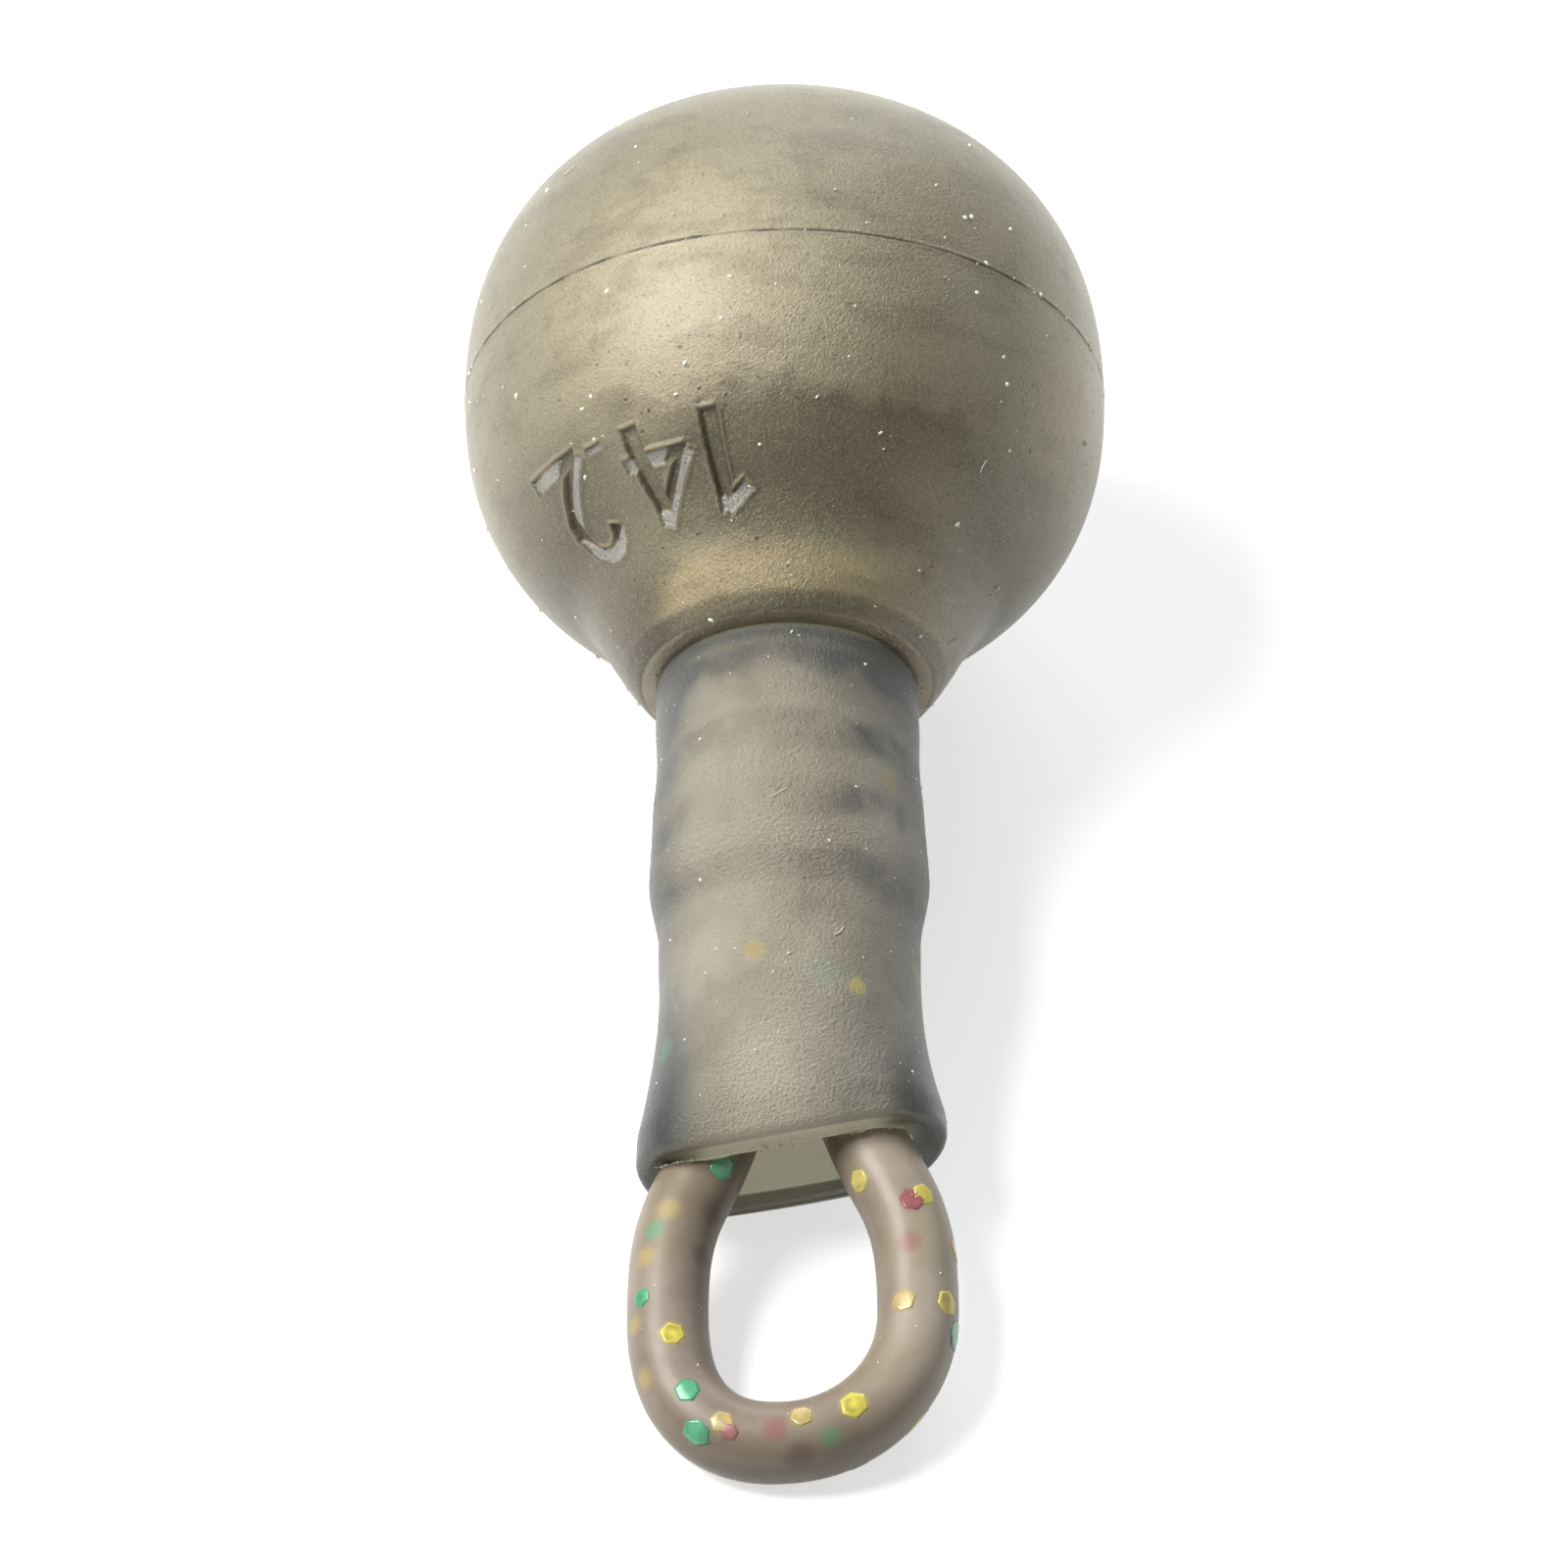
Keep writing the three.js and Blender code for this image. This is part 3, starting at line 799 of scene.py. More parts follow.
def stem_outline(stem):
    """Half section of the ringed stem, with small rounds on its edges."""
    shank, flange, land = stem.shank_radius, stem.flange_radius, stem.ring_radius
    foot, top = stem.foot_reach, stem.foot_reach + stem.flange_height
    line = [(0, foot), (flange, foot), (flange, top), (shank, top)]
    half = stem.ring_land / 2
    for i in range(stem.ring_count):
        reach = stem.first_ring + i * stem.ring_pitch
        line += [(shank, reach - half - stem.ring_back), (land, reach - half)]
        line += [(land, reach + half), (shank, reach + half + stem.ring_lead)]
    nose = reach + half + stem.nose
    return rounded([*line[:-1], (stem.nose_radius, nose), (0, nose)], 0.07)


def stem_material(finish):
    shader = Shader("stem plastic")
    place = shader.place()
    flow = shader.noise(shader.stretched(place, 1.0, 0.25, 1.0), 2.2, 3.0)
    fine = shader.noise(place, 18.0, 2.0)
    base = shader.mix(flow.ramp(0.35, 0.7) * 0.4, finish.stem, finish.groove)
    return shader.finish(
        Base_Color=base,
        Roughness=0.38 + fine * 0.15,
        Normal=shader.bump(fine, 0.000008, 0.6),
    )


# ---------------------------------------------------------------- sleeve


CRUMBS = 110


def flare_share(sleeve, reach):
    start = sleeve.start + sleeve.run - sleeve.flare
    t = np.clip((reach - start) / sleeve.flare, 0, 1)
    return t * t


def turned(sleeve, x, reach, z):
    """A place across the tail, turned as far as the tail is twisted at that reach."""
    twist = sleeve.twist * flare_share(sleeve, reach)
    sine, cosine = np.sin(twist), np.cos(twist)
    return np.stack([x * cosine - z * sine, -reach + 0 * x, x * sine + z * cosine], -1)


def sleeve_skin(sleeve, stem, reach, around, wall, side_wall, hug=0.0):
    """Points of the sleeve's outside or inside at a reach and at turns round it."""
    ring = stem.first_ring + (stem.ring_count - 1) * stem.ring_pitch
    past = reach - ring
    away = np.where(past < 0, -past / sleeve.bulge_rise, past / sleeve.bulge_fall)
    bulge = sleeve.bulge * np.cos(np.clip(away, 0, 1) * math.pi / 2) ** 2
    beyond = smooth(reach, ring, ring + sleeve.bulge_fall)
    bore = sleeve.bore * (1 - beyond) + sleeve.leg_bore * beyond + bulge
    flared = flare_share(sleeve, reach)
    radius = (bore + wall) * (1 - flared) + (sleeve.mouth_bore + wall) * flared
    spacing = flared * (sleeve.mouth_half + side_wall - wall) - hug * flared**3
    sideways, upright = np.sin(around), np.cos(around)
    drawn = sideways / 0.3
    drawn = drawn / (1 + np.abs(drawn) ** 5) ** 0.2
    tongue = sleeve.tongue * (1 - sideways**2) + 0.14 * np.clip(-upright, 0, 1)
    further = (tongue - sleeve.slant * drawn) * flared
    spot = turned(sleeve, radius * sideways + spacing * drawn, reach, radius * upright)
    spot[..., 1] -= further
    return spot


def sleeve_outside(sleeve, stem, reach, around):
    return sleeve_skin(sleeve, stem, reach, around, sleeve.wall, sleeve.side_wall)


def sleeve_surface(sleeve, stem):
    """Closed skin of the sleeve: outside, tucked and rounded lip, cut face, bore, rim."""
    start, mouth = sleeve.start, sleeve.start + sleeve.run
    around = np.linspace(0, 2 * math.pi, 193)[:-1]
    wall, lip = sleeve.wall, sleeve.lip
    rim, tuck = 0.14, 0.1
    rows, paint = [], []

    def add_row(reach, depth=0.0, shrink=0.0, marks=(0, 0, 0), push=0.0):
        """A ring at a depth from 0, outside, to 1, in the bore; marks: cut, inner, edge."""
        level = np.full(around.shape, reach)
        out = sleeve_outside(sleeve, stem, level, around)
        bore = sleeve_skin(sleeve, stem, level, around, 0.0, 0.0, 0.22)
        spot = out * (1 - depth) + bore * depth + unit(bore - out) * shrink
        spot[:, 1] -= push
        rows.append(spot)
        paint.append(np.tile(marks, (len(around), 1)))

    for angle in np.linspace(0, math.pi / 2, 7):
        drop = rim * (1 - math.sin(angle))
        add_row(start + drop, 0.0, drop, (0.6, 0, 0))
    for reach in spaced(start + rim + 0.02, mouth - 1.1, 0.1, [])[:-1]:
        add_row(reach)
    for reach in np.linspace(mouth - 1.1, mouth - lip, 16):
        add_row(reach, 0.0, 0.12 * smooth(reach, mouth - 0.75, mouth))
    for t in np.linspace(0, 1, 9)[1:]:
        angle = t * math.pi / 2
        reach = mouth - lip + lip * math.sin(angle)
        add_row(reach, 0.0, tuck + lip * (1 - math.cos(angle)), (0.5 * t, 0, 0))
    outer, inmost = (tuck + lip) / wall, 0.93
    for depth in np.linspace(outer, inmost, 8)[1:]:
        hollow = -0.05 * math.sin(math.pi * (depth - outer) / (inmost - outer))
        add_row(mouth, depth, 0.0, (1, 0, 0), hollow)
    add_row(mouth, 0.96, 0.0, (1, 0, 0.7), 0.035)
    add_row(mouth, 0.99, 0.0, (1, 0, 1), 0.055)
    add_row(mouth - 0.01, 1.0, 0.0, (0.8, 0.3, 1), 0.03)
    add_row(mouth - 0.05, 1.0, 0.0, (0.3, 0.7, 0.5))
    for reach in np.linspace(mouth - 0.12, start + 0.06, 60):
        add_row(reach, 1.0, 0.0, (0, 1, 0))
    add_row(start + 0.015, 0.98, 0.0, (0.4, 0.5, 0))
    for depth in np.linspace(0.94, rim / wall, 6):
        add_row(start, depth, 0.0, (0.8, 0, 0))

    grid = np.array(rows)
    cut, inner, edge = np.moveaxis(np.array(paint, float), -1, 0)
    outside = 1 - np.clip(cut + inner + edge, 0, 1)
    away = unit((grid - grid.mean(axis=1, keepdims=True)) * [1, 0, 1])
    reach = -grid[..., 1]
    rings = stem.first_ring + stem.ring_pitch * np.arange(stem.ring_count)
    held = sum(hump(reach, ring + 0.1, 0.5) for ring in rings)
    lift = 0.022 * (held - 0.5) * (1 - smooth(reach, 13.6, 14.4))
    lift = lift + 0.02 * ripple(grid, 21, 1.3) + 0.012 * ripple(grid, 22, 3.1)
    grid = grid + away * (lift * outside)[..., None]
    ragged = ripple(grid, 31, 9.0, 9) * 0.6 + ripple(grid, 32, 22.0, 9) * 0.5
    grid[..., 1] -= edge * 0.05 * ragged
    faces = ring_faces(*grid.shape[:2], closed_rows=True)
    return grid, faces, {"cut": cut.ravel(), "inner": inner.ravel(), "edge": edge.ravel()}


def cut_crumbs(sleeve, stem):
    """Crumbs and shreds that the blade left along the inner edge of the cut."""
    chance = random.Random(9)
    mouth = sleeve.start + sleeve.run
    spots = []
    for _ in range(CRUMBS):
        around = chance.uniform(-1.1, 1.1) + math.pi * (chance.random() < 0.3)
        spot = sleeve_skin(sleeve, stem, mouth, around, 0.03, 0.03)
        spots.append((spot - [0, 0.04, 0], (0, -1, 0)))
    return scattered(spots, chance, 0.015, 0.075, 16)


# Flakes that shine through the sleeve: reach, turn, colour, size and strength.
HELD_FLAKES = [
    (15.67, -15, "gold", 0.3, 0.5),
    (16.2, 14, "green", 0.42, 0.16),
    (16.44, 28, "yellow", 0.27, 0.5),
    (11.0, 48, "yellow", 0.35, 0.28),
    (17.2, -60, "green", 0.35, 0.3),
    (15.2, 75, "gold", 0.35, 0.35),
    (16.6, 140, "gold", 0.32, 0.45),
    (15.5, 190, "green", 0.35, 0.35),
    (17.5, 215, "red", 0.3, 0.3),
    (14.8, 260, "gold", 0.3, 0.35),
]


def held_flakes(shader, finish, sleeve, stem):
    """Soft spots on the sleeve's outside, as (amount, colour)."""
    for reach, degrees, tone, size, strength in HELD_FLAKES:
        x, y, z = sleeve_outside(sleeve, stem, reach, math.radians(degrees))
        mask = shader.spot((x, -y, z), size * 0.35, size * 1.15)
        yield mask * strength, getattr(finish, tone)


def sleeve_material(finish, sleeve, stem):
    """Smoky silicone: the stem's rings and the cord show through as soft bands, with
    painted shade, painted highlights and a painted glow in the bore.
    """
    shader = Shader("smoky silicone")
    place = shader.place()
    across, reach, upright = shader.axes(place)
    aside = across.absolute()
    wander = shader.noise(place, 0.45, 2.0) - 0.5
    clouds = shader.noise(place, 0.42, 3.0, 0.55, 0.3)
    patches = shader.noise(shader.stretched(place, 1.0, 0.8, 1.0), 0.85, 3.0, 0.6, 0.4)
    fine = shader.noise(place, 12.0, 3.0, 0.6)
    inner, cut, edge = [shader.painted(name) for name in ("inner", "cut", "edge")]

    # Bands over the rings of the stem seen through the silicone, with painted shade over
    # the gaps between them; painted shade at the top end, sides and right, and painted
    # highlights.
    turns_per_mm = 2 * math.pi / (stem.ring_pitch * 0.89)
    phase = (reach - stem.first_ring + wander * 1.3) * turns_per_mm
    bands = (phase - 4.1).sine() * 0.5 + 0.5
    on_stem = reach.ramp(14.8, 13.2)
    broken = 1 - shader.spot((-0.8, 11.4, 2.8), 0.6, 2.4) * 0.5
    broken = (patches * 3.0 - 0.95).clamped() * broken
    dark = bands.ramp(0.3, 1.0) * on_stem * broken
    light = bands.ramp(0.6, 0.0) * on_stem * reach.ramp(8.6, 10.0)
    top_end = (reach + wander * 0.5).ramp(9.0, 8.1)
    loose = patches.ramp(0.48, 0.72) * reach.ramp(13.0, 14.5)
    flank = aside.ramp(2.2, 3.1)
    right = across.ramp(-0.3, 1.6)
    # Lighter by the middle of the mouth, and painted highlights on the sleeve's upper left
    # and right.
    by_mouth = reach.ramp(15.8, 18.2) * aside.ramp(2.0, 0.8) * (1 - right * 0.5)
    painted_sheen = shader.spot((-1.2, 12.4, 2.7), 0.4, 3.0)
    painted_sheen_right = shader.spot((2.5, 12.2, 1.7), 0.3, 1.6)
    low_left = across.ramp(-1.5, -2.5) * 0.42
    # Painted shade: over the gaps between the rings, at the top end and rim, down the
    # sides, on the right, and near the mouth.
    shade = dark * (0.34 + right * 0.35 + aside.ramp(0.8, 2.2) * 0.25)
    shade = shade + top_end * (0.28 + right * 0.22) + loose * (0.1 + right * 0.2)
    shade = shade + flank * (0.5 - right * 0.1) + right * 0.16
    shade = shade + across.ramp(-1.9, -2.7) * 0.4
    shade = shade + reach.ramp(10.6, 9.0) * (0.26 + across.ramp(-1.6, -2.6) * 0.3)
    shade = shade + reach.ramp(15.4, 17.4) * (low_left + 0.05 + right * 0.22)
    shade = shade * (1 - (painted_sheen * 0.5 + painted_sheen_right * 0.4)) + reach.ramp(7.95, 7.65) * 0.4
    # The mouth's sides: darker for the thick silicone, with painted shade.
    lobes = (reach + across * 0.12).ramp(16.4, 18.6) * aside.ramp(1.8, 2.9)
    outside = shader.layered(
        finish.sleeve,
        (clouds.ramp(0.3, 0.7) * 0.6, finish.sleeve_pale_and_sheen),
        (light * (0.5 - flank * 0.3), finish.sleeve_pale_and_sheen),
        (by_mouth, finish.sleeve_pale_and_sheen),
        (painted_sheen * 0.85, finish.sleeve_pale_and_sheen),
        (painted_sheen_right * 0.8, finish.sleeve_pale_and_sheen),
        (shade.clamped() * 0.88, finish.sleeve_shade),
        (lobes * 0.9, finish.sleeve_deep),
        *held_flakes(shader, finish, sleeve, stem),
    )

    # The bore, its ragged lower rim with painted shade, and the cut face, with painted
    # shade on its lower side and sides.
    tilted = reach + across * 0.14 + (fine - 0.5) * 0.08
    low = upright.ramp(0.0, -0.5)
    # Painted shade on the bore's lower rim.
    bevel = tilted.ramp(19.36, 19.41) * low
    shreds = tilted.ramp(19.28, 19.34) * tilted.ramp(19.46, 19.4) * low
    shreds = shreds * fine.ramp(0.44, 0.52)
    nick = shader.spot((0.45, 18.62, -1.08), 0.05, 0.22) * fine.ramp(0.35, 0.55)
    bore = shader.layered(
        finish.bore,
        (fine.ramp(0.3, 0.8) * 0.35, finish.sleeve),
        (bevel * 0.9, finish.cut_dark),
        (shreds, finish.cut_edge),
        (nick * 0.85, finish.cut_dark),
    )
    face_shade = (aside.ramp(2.2, 2.9) + reach.ramp(9.0, 8.0)).clamped()
    face = shader.layered(
        finish.cut_face,
        (fine.ramp(0.35, 0.75) * 0.4, finish.sleeve),
        # Painted shade on the lower half of the cut face.
        (upright.ramp(0.3, -0.6), finish.cut_dark),
        (face_shade * 0.8, finish.sleeve_shade),
    )
    # Pale ragged edge of the cut, dimmed at the sides and on the lower side as painted
    # shade.
    pale = edge * (fine * 2.0 - 0.1).clamped() * aside.ramp(2.7, 2.0)
    pale = pale * (0.3 + upright.ramp(-0.5, 0.3) * 0.7)
    base = shader.layered(
        outside, (inner, bore), (cut * (1 - inner).clamped(), face), (pale, finish.cut_edge)
    )

    leather = shader.noise(shader.stretched(place, 1.0, 1.3, 1.0), 7.0, 4.0, 0.7)
    creases = shader.noise(place, 16.0, 3.0, 0.7)
    coarse = 0.35 + reach.ramp(9.6, 11.2) * 0.65 - reach.ramp(13.4, 15.4) * 0.75
    height = leather * coarse * 1.4 + creases * (0.45 + coarse * 0.4) + fine * 0.4
    lit_face = cut * upright.ramp(0.3, 1.0) * aside.ramp(2.4, 1.6)
    # Painted light: the bore and the cut face glow with the bore colour, less on the lower
    # rim.
    glow = inner * (0.37 - bevel * 0.27) + lit_face * 0.3 + cut * low * 0.05
    return shader.finish(
        Base_Color=base,
        Roughness=0.22 + fine * 0.2 + cut * 0.14,
        Normal=shader.bump(height * (1 - (cut + lobes).clamped() * 0.75), 0.0001),
        IOR=1.45,
        Specular_IOR_Level=0.75,
        Subsurface_Weight=0.1,
        Subsurface_Radius=(1.0, 0.9, 0.7),
        Subsurface_Scale=0.0005,
        Emission_Color=shader.mix(glow.clamped(), grey(0.0), finish.bore),
        Emission_Strength=1.0,
    )


# ---------------------------------------------------------------- cord


CORD_STEP = 0.085  # from one ring of the cord's skin to the next


def cord_route(cord, sleeve):
    """Centre line of the whole cord in even steps, with its run and two sides."""
    bend, start, half = cord.flex_reach, cord.start, cord.flex_half
    held, straight = cord.leg_half, cord.straight
    slope = math.tan(cord.spread)
    wide, widest = bend + straight, cord.half_width
    run = bend - start

    def leg(side, places, count):
        """One leg through four places of (half spacing, reach)."""
        spots = [turned(sleeve, side * x, reach, 0.0) for x, reach in places]
        return cubic(spots, count)

    in_sleeve = [
        (held, start),
        (held, start + run * 0.5),
        (half - slope * run * 0.3, bend - run * 0.3),
        (half, bend),
    ]
    free = [
        (half, bend),
        (half + slope * straight * 0.3, bend + straight * 0.3),
        (widest, wide - straight * 0.42),
        (widest, wide),
    ]
    angle = np.linspace(0, math.pi, 400)[1:-1]
    power = 2 / cord.fullness
    drop = np.sin(angle) ** power
    out = np.sign(np.cos(angle)) * np.abs(np.cos(angle)) ** power
    x = -widest * out - cord.lean * drop**2
    bight = turned(sleeve, x, wide + cord.bight * drop, 0 * x)
    first = [leg(-1, in_sleeve, 200), leg(-1, free, 120)[1:]]
    second = [leg(1, free, 120)[::-1], leg(1, in_sleeve, 200)[::-1][1:]]
    line = np.vstack([*first, bight, *second])
    total = run_along(line)[-1]
    run = np.linspace(0, total, int(total / CORD_STEP))
    line = resampled(line, run)
    for _ in range(3):
        line[1:-1] = (line[:-2] + 2 * line[1:-1] + line[2:]) / 4
    along = unit(np.gradient(line, axis=0))
    up = np.array([-math.sin(sleeve.twist), 0, math.cos(sleeve.twist)])
    up = unit(up - (along @ up)[:, None] * along)
    return line, run, up, np.cross(along, up)


def cord_point(route, place, degrees, radius):
    """Points on the cord: place along it, turn round it (90 is the loop's outside)."""
    line, run, up, out = route
    angle = np.radians(degrees)
    middle, upward, outward = [
        np.stack([np.interp(place, run, part[:, k]) for k in range(3)], -1)
        for part in (line, up, out)
    ]
    lean = np.cos(angle)[..., None] * upward + np.sin(angle)[..., None] * outward
    return middle + np.asarray(radius)[..., None] * lean


SHARP = 0.55  # flakes that show sharper than this are plates at the cord's skin
SHOWN_FLAKES = [
    # place along the cord, turn round it, colour, size, how sharp it shows
    (6.2, -37, "green", 1.1, 0.85),
    (7.65, 9, "gold", 1.0, 0.35),
    (8.15, 23, "green", 0.9, 0.4),
    (8.75, 32, "gold", 0.9, 0.5),
    (9.7, 36, "green", 0.8, 0.9),
    (10.25, 50, "gold", 0.8, 0.3),
    (10.7, -8, "yellow", 1.0, 1.0),
    (11.4, 52, "gold", 0.9, 0.45),
    (12.15, 3, "green", 1.0, 0.95),
    (12.85, 40, "green", 1.0, 0.9),
    (13.2, 10, "gold", 0.9, 0.8),
    (13.4, 20, "red", 0.7, 0.6),
    (14.3, 7, "red", 1.0, 0.4),
    (14.9, -9, "gold", 0.95, 0.75),
    (16.05, 4, "yellow", 1.1, 1.0),
    (14.75, 50, "plum", 1.2, 0.4),
    (15.35, 32, "green", 0.9, 0.15),
    (18.95, -17, "gold", 1.0, 0.7),
    (19.05, 50, "yellow", 0.95, 0.8),
    (20.4, -6, "red", 1.0, 0.25),
    (21.4, 12, "red", 1.0, 0.8),
    (21.5, 32, "yellow", 0.9, 0.9),
    (22.45, -49, "yellow", 0.95, 0.6),
    (7.25, -54, "plum", 1.1, 0.3),
    (8.5, -56, "plum", 1.0, 0.3),
]


def all_flakes(cord, route):
    """Flakes in view, and seeded ones on the cord's other sides."""
    flakes = list(SHOWN_FLAKES)
    chance = random.Random(14)
    total = route[1][-1]
    tones = ["gold", "gold", "yellow", "green", "green", "red", "plum"]
    for i in range(cord.hidden_flakes):
        place = 4.6 + (total - 9.2) * (i + chance.random()) / cord.hidden_flakes
        degrees = chance.uniform(75, 250)
        sharp = chance.choice([1.0, 0.8, 0.5, 0.3])
        tone, size = chance.choice(tones), chance.uniform(0.8, 1.1)
        flakes.append((place, degrees, tone, size, sharp))
    return flakes


def cord_surface(cord, finish, route, flakes):
    """Closed skin of the cord, with deep flakes painted as soft spots, painted shade on its
    inner side and painted sheen streaks.
    """
    run = route[1]
    turns = np.linspace(0, 360, 41)[:-1]
    radius, total = cord.radius, run[-1]
    edge, ends = 0.12, np.array([0.0, 0.04, 0.12, 0.25])
    places = np.concatenate([ends, run[4:-4], total - ends[::-1]])
    short = np.clip(edge - np.minimum(places, total - places), 0, None)
    inset = edge - np.sqrt(edge**2 - short**2)
    rows = [np.full(turns.shape, place) for place in places]
    grid = np.array([
        cord_point(route, row, turns, radius - less) for row, less in zip(rows, inset)
    ])
    count = len(grid)
    away = (grid - grid.mean(axis=1, keepdims=True)) / radius
    waves = 0.008 * ripple(grid, 41, 1.6) + 0.004 * ripple(grid, 42, 6.0)
    grid = grid + away * waves[..., None]
    tint = np.zeros((count, len(turns), 4))
    tint[..., :3] = finish.cord[:3]
    for place, degrees, tone, size, sharp in flakes:
        centre = cord_point(route, [place], [degrees], [radius])[0]
        reach = cord.flake_radius * size
        away = np.linalg.norm(grid - centre, axis=-1)
        soft = 1 - smooth(away, reach * (0.35 + 0.3 * sharp), reach * (1.45 - 0.25 * sharp))
        weight = (soft * (0.35 + 0.35 * sharp))[..., None]
        kept = np.maximum(tint[..., 3:], 1e-6) * (1 - weight)
        flake_colour = np.array(getattr(finish, tone)[:3])
        tint[..., :3] = (tint[..., :3] * kept + flake_colour * weight) / (kept + weight)
        tint[..., 3:] += weight * (1 - tint[..., 3:])
    points = np.vstack([grid.reshape(-1, 3), grid[0].mean(axis=0), grid[-1].mean(axis=0)])
    angle = np.radians(turns)
    sides = 2.2 * np.cos(angle), 2.2 * np.sin(angle)
    strip = np.broadcast_arrays(places[:, None] * 0.5, *sides)
    # Painted sheen: pale streaks along the cord.
    streak = 0.5 + 0.4 * ripple(np.stack(strip, -1), 43, 1.1, 7)
    painted = {
        "tint": np.vstack([tint.reshape(-1, 4), np.zeros((2, 4))]),
        "shade": np.append(np.tile(hump(turns, 268, 62), count), [0, 0]),
        "streak": np.append(streak.ravel(), [0.5, 0.5]),
    }
    return points, capped_faces(count, len(turns)), painted


def cord_material(finish):
    """Taupe elastomer with a smooth skin and flakes deep in it, with painted shade and
    painted sheen.
    """
    shader = Shader("taupe cord")
    place = shader.place()
    across, reach, _ = shader.axes(place)
    clouds = shader.noise(place, 0.5, 3.0, 0.55, 0.5)
    milk = shader.noise(place, 1.9, 3.0, 0.6)
    fine = shader.noise(place, 14.0, 2.0)
    olive = shader.noise(place, 0.33, 2.0)
    streak = shader.painted("streak")
    # Painted shade on the bight's lower end and on the left leg, and painted light on the
    # right leg.
    low_end = reach.ramp(24.8, 26.8)
    base = shader.layered(
        finish.cord,
        (clouds.ramp(0.4, 0.7) * 0.45, finish.cord_dark),
        (milk.ramp(0.5, 0.8) * 0.2, finish.sleeve_pale_and_sheen),
        (olive.ramp(0.42, 0.62) * 0.45, finish.cord_olive),
        # Painted sheen along the cord.
        (streak.ramp(0.5, 1.0) * 0.3, finish.sleeve_pale_and_sheen),
        (shader.painted("shade") * 0.6, finish.cord_dark),
        (low_end * 0.3, finish.cord_olive),
        (low_end * 0.4 + across.ramp(0.0, -2.4) * 0.22, finish.cord_dark),
        (across.ramp(1.4, 3.0) * 0.25, finish.sleeve_pale_and_sheen),
        (shader.painted("tint", "Alpha"), shader.painted("tint", "Color")),
    )
    return shader.finish(
        Base_Color=base,
        Roughness=0.27 + milk * 0.12 + fine * 0.08 + streak * 0.2,
        Normal=shader.bump(fine, 0.000006, 0.5),
        IOR=1.47,
        Specular_IOR_Level=0.6,
        Subsurface_Weight=0.35,
        Subsurface_Radius=(1.0, 0.78, 0.6),
        Subsurface_Scale=0.0009,
        Coat_Weight=0.1,
        Coat_Roughness=0.25,
    )


def flake_material(name, tone, under, pale_rim):
    """Shiny coloured film, lighter and darker from flake to flake."""
    shader = Shader(name)
    place = shader.place()
    sheen = shader.noise(place, 2.3, 2.0)
    rim = shader.painted("rim")
    lighter = (*(min(1.0, v * 1.5 + 0.04) for v in tone[:3]), 1.0)
    darker = (*(v * 0.42 for v in tone[:3]), 1.0)
    base = shader.mix(sheen.ramp(0.4, 0.7) * 0.7, tone, lighter)
    if pale_rim:
        centre = shader.noise(place, 1.7, 1.0).ramp(0.45, 0.6) * (1 - rim) * 0.6
        base = shader.layered(base, (centre, darker), (rim * 0.5, lighter))
    else:
        base = shader.mix(rim * 0.45, base, darker)
    base = shader.mix(shader.painted("sunk"), base, under)
    return shader.finish(
        Base_Color=base, Roughness=0.27, Metallic=0.1, Coat_Weight=0.2, Coat_Roughness=0.15
    )


# A flake's rings of corners: share of its radius, height over the cord, dark rim.
FLAKE_TOP = 0.014
FLAKE_RINGS = [
    (0.55, FLAKE_TOP, 0.0),
    (0.84, FLAKE_TOP, 0.35),
    (1.0, 0.012, 1.0),
    (1.02, -0.03, 1.0),
]


def flake_surface(cord, route, flakes):
    """Six-sided plates that follow the cord's skin, each with a darker rim."""
    points, faces, rim, sunk = [], [], [], []
    chance = random.Random(6)
    radius = cord.radius
    for place, degrees, _, size, sharp in flakes:
        spin = chance.uniform(0, 60)
        reach = cord.flake_radius * size
        first = len(points)
        for ring, (part, height, dark) in enumerate(FLAKE_RINGS):
            for corner in range(6):
                uneven = chance.uniform(-2, 2) * (ring > 1)
                angle = math.radians(spin + corner * 60 + uneven)
                along = place + reach * part * math.cos(angle)
                aside = degrees + math.degrees(reach * part * math.sin(angle) / radius)
                points.append(cord_point(route, [along], [aside], [radius + height])[0])
                rim.append(dark)
        centre = len(points)
        points.append(cord_point(route, [place], [degrees], [radius + FLAKE_TOP])[0])
        rim.append(chance.choice([0.0, 0.0, 0.8]))
        sunk += [0.1 + 0.75 * (1 - sharp)] * 25
        for corner in range(6):
            after = (corner + 1) % 6
            faces.append((centre, first + corner, first + after))
            for low in range(first, first + 18, 6):
                faces.append((low + corner, low + 6 + corner, low + 6 + after, low + after))
    return points, faces, {"rim": rim, "sunk": sunk}


# ---------------------------------------------------------------- dust


COAT_SPECKS, SEAM_SPECKS, SLEEVE_SPECKS, CORD_SPECKS = 400, 60, 340, 110


def spun_sides(normal, chance):
    """Two vectors square to a normal and to each other, turned by chance."""
    side = normal.orthogonal().normalized()
    other = normal.cross(side)
    spin = chance.uniform(0, math.pi)
    sine, cosine = math.sin(spin), math.cos(spin)
    return side * cosine + other * sine, other * cosine - side * sine


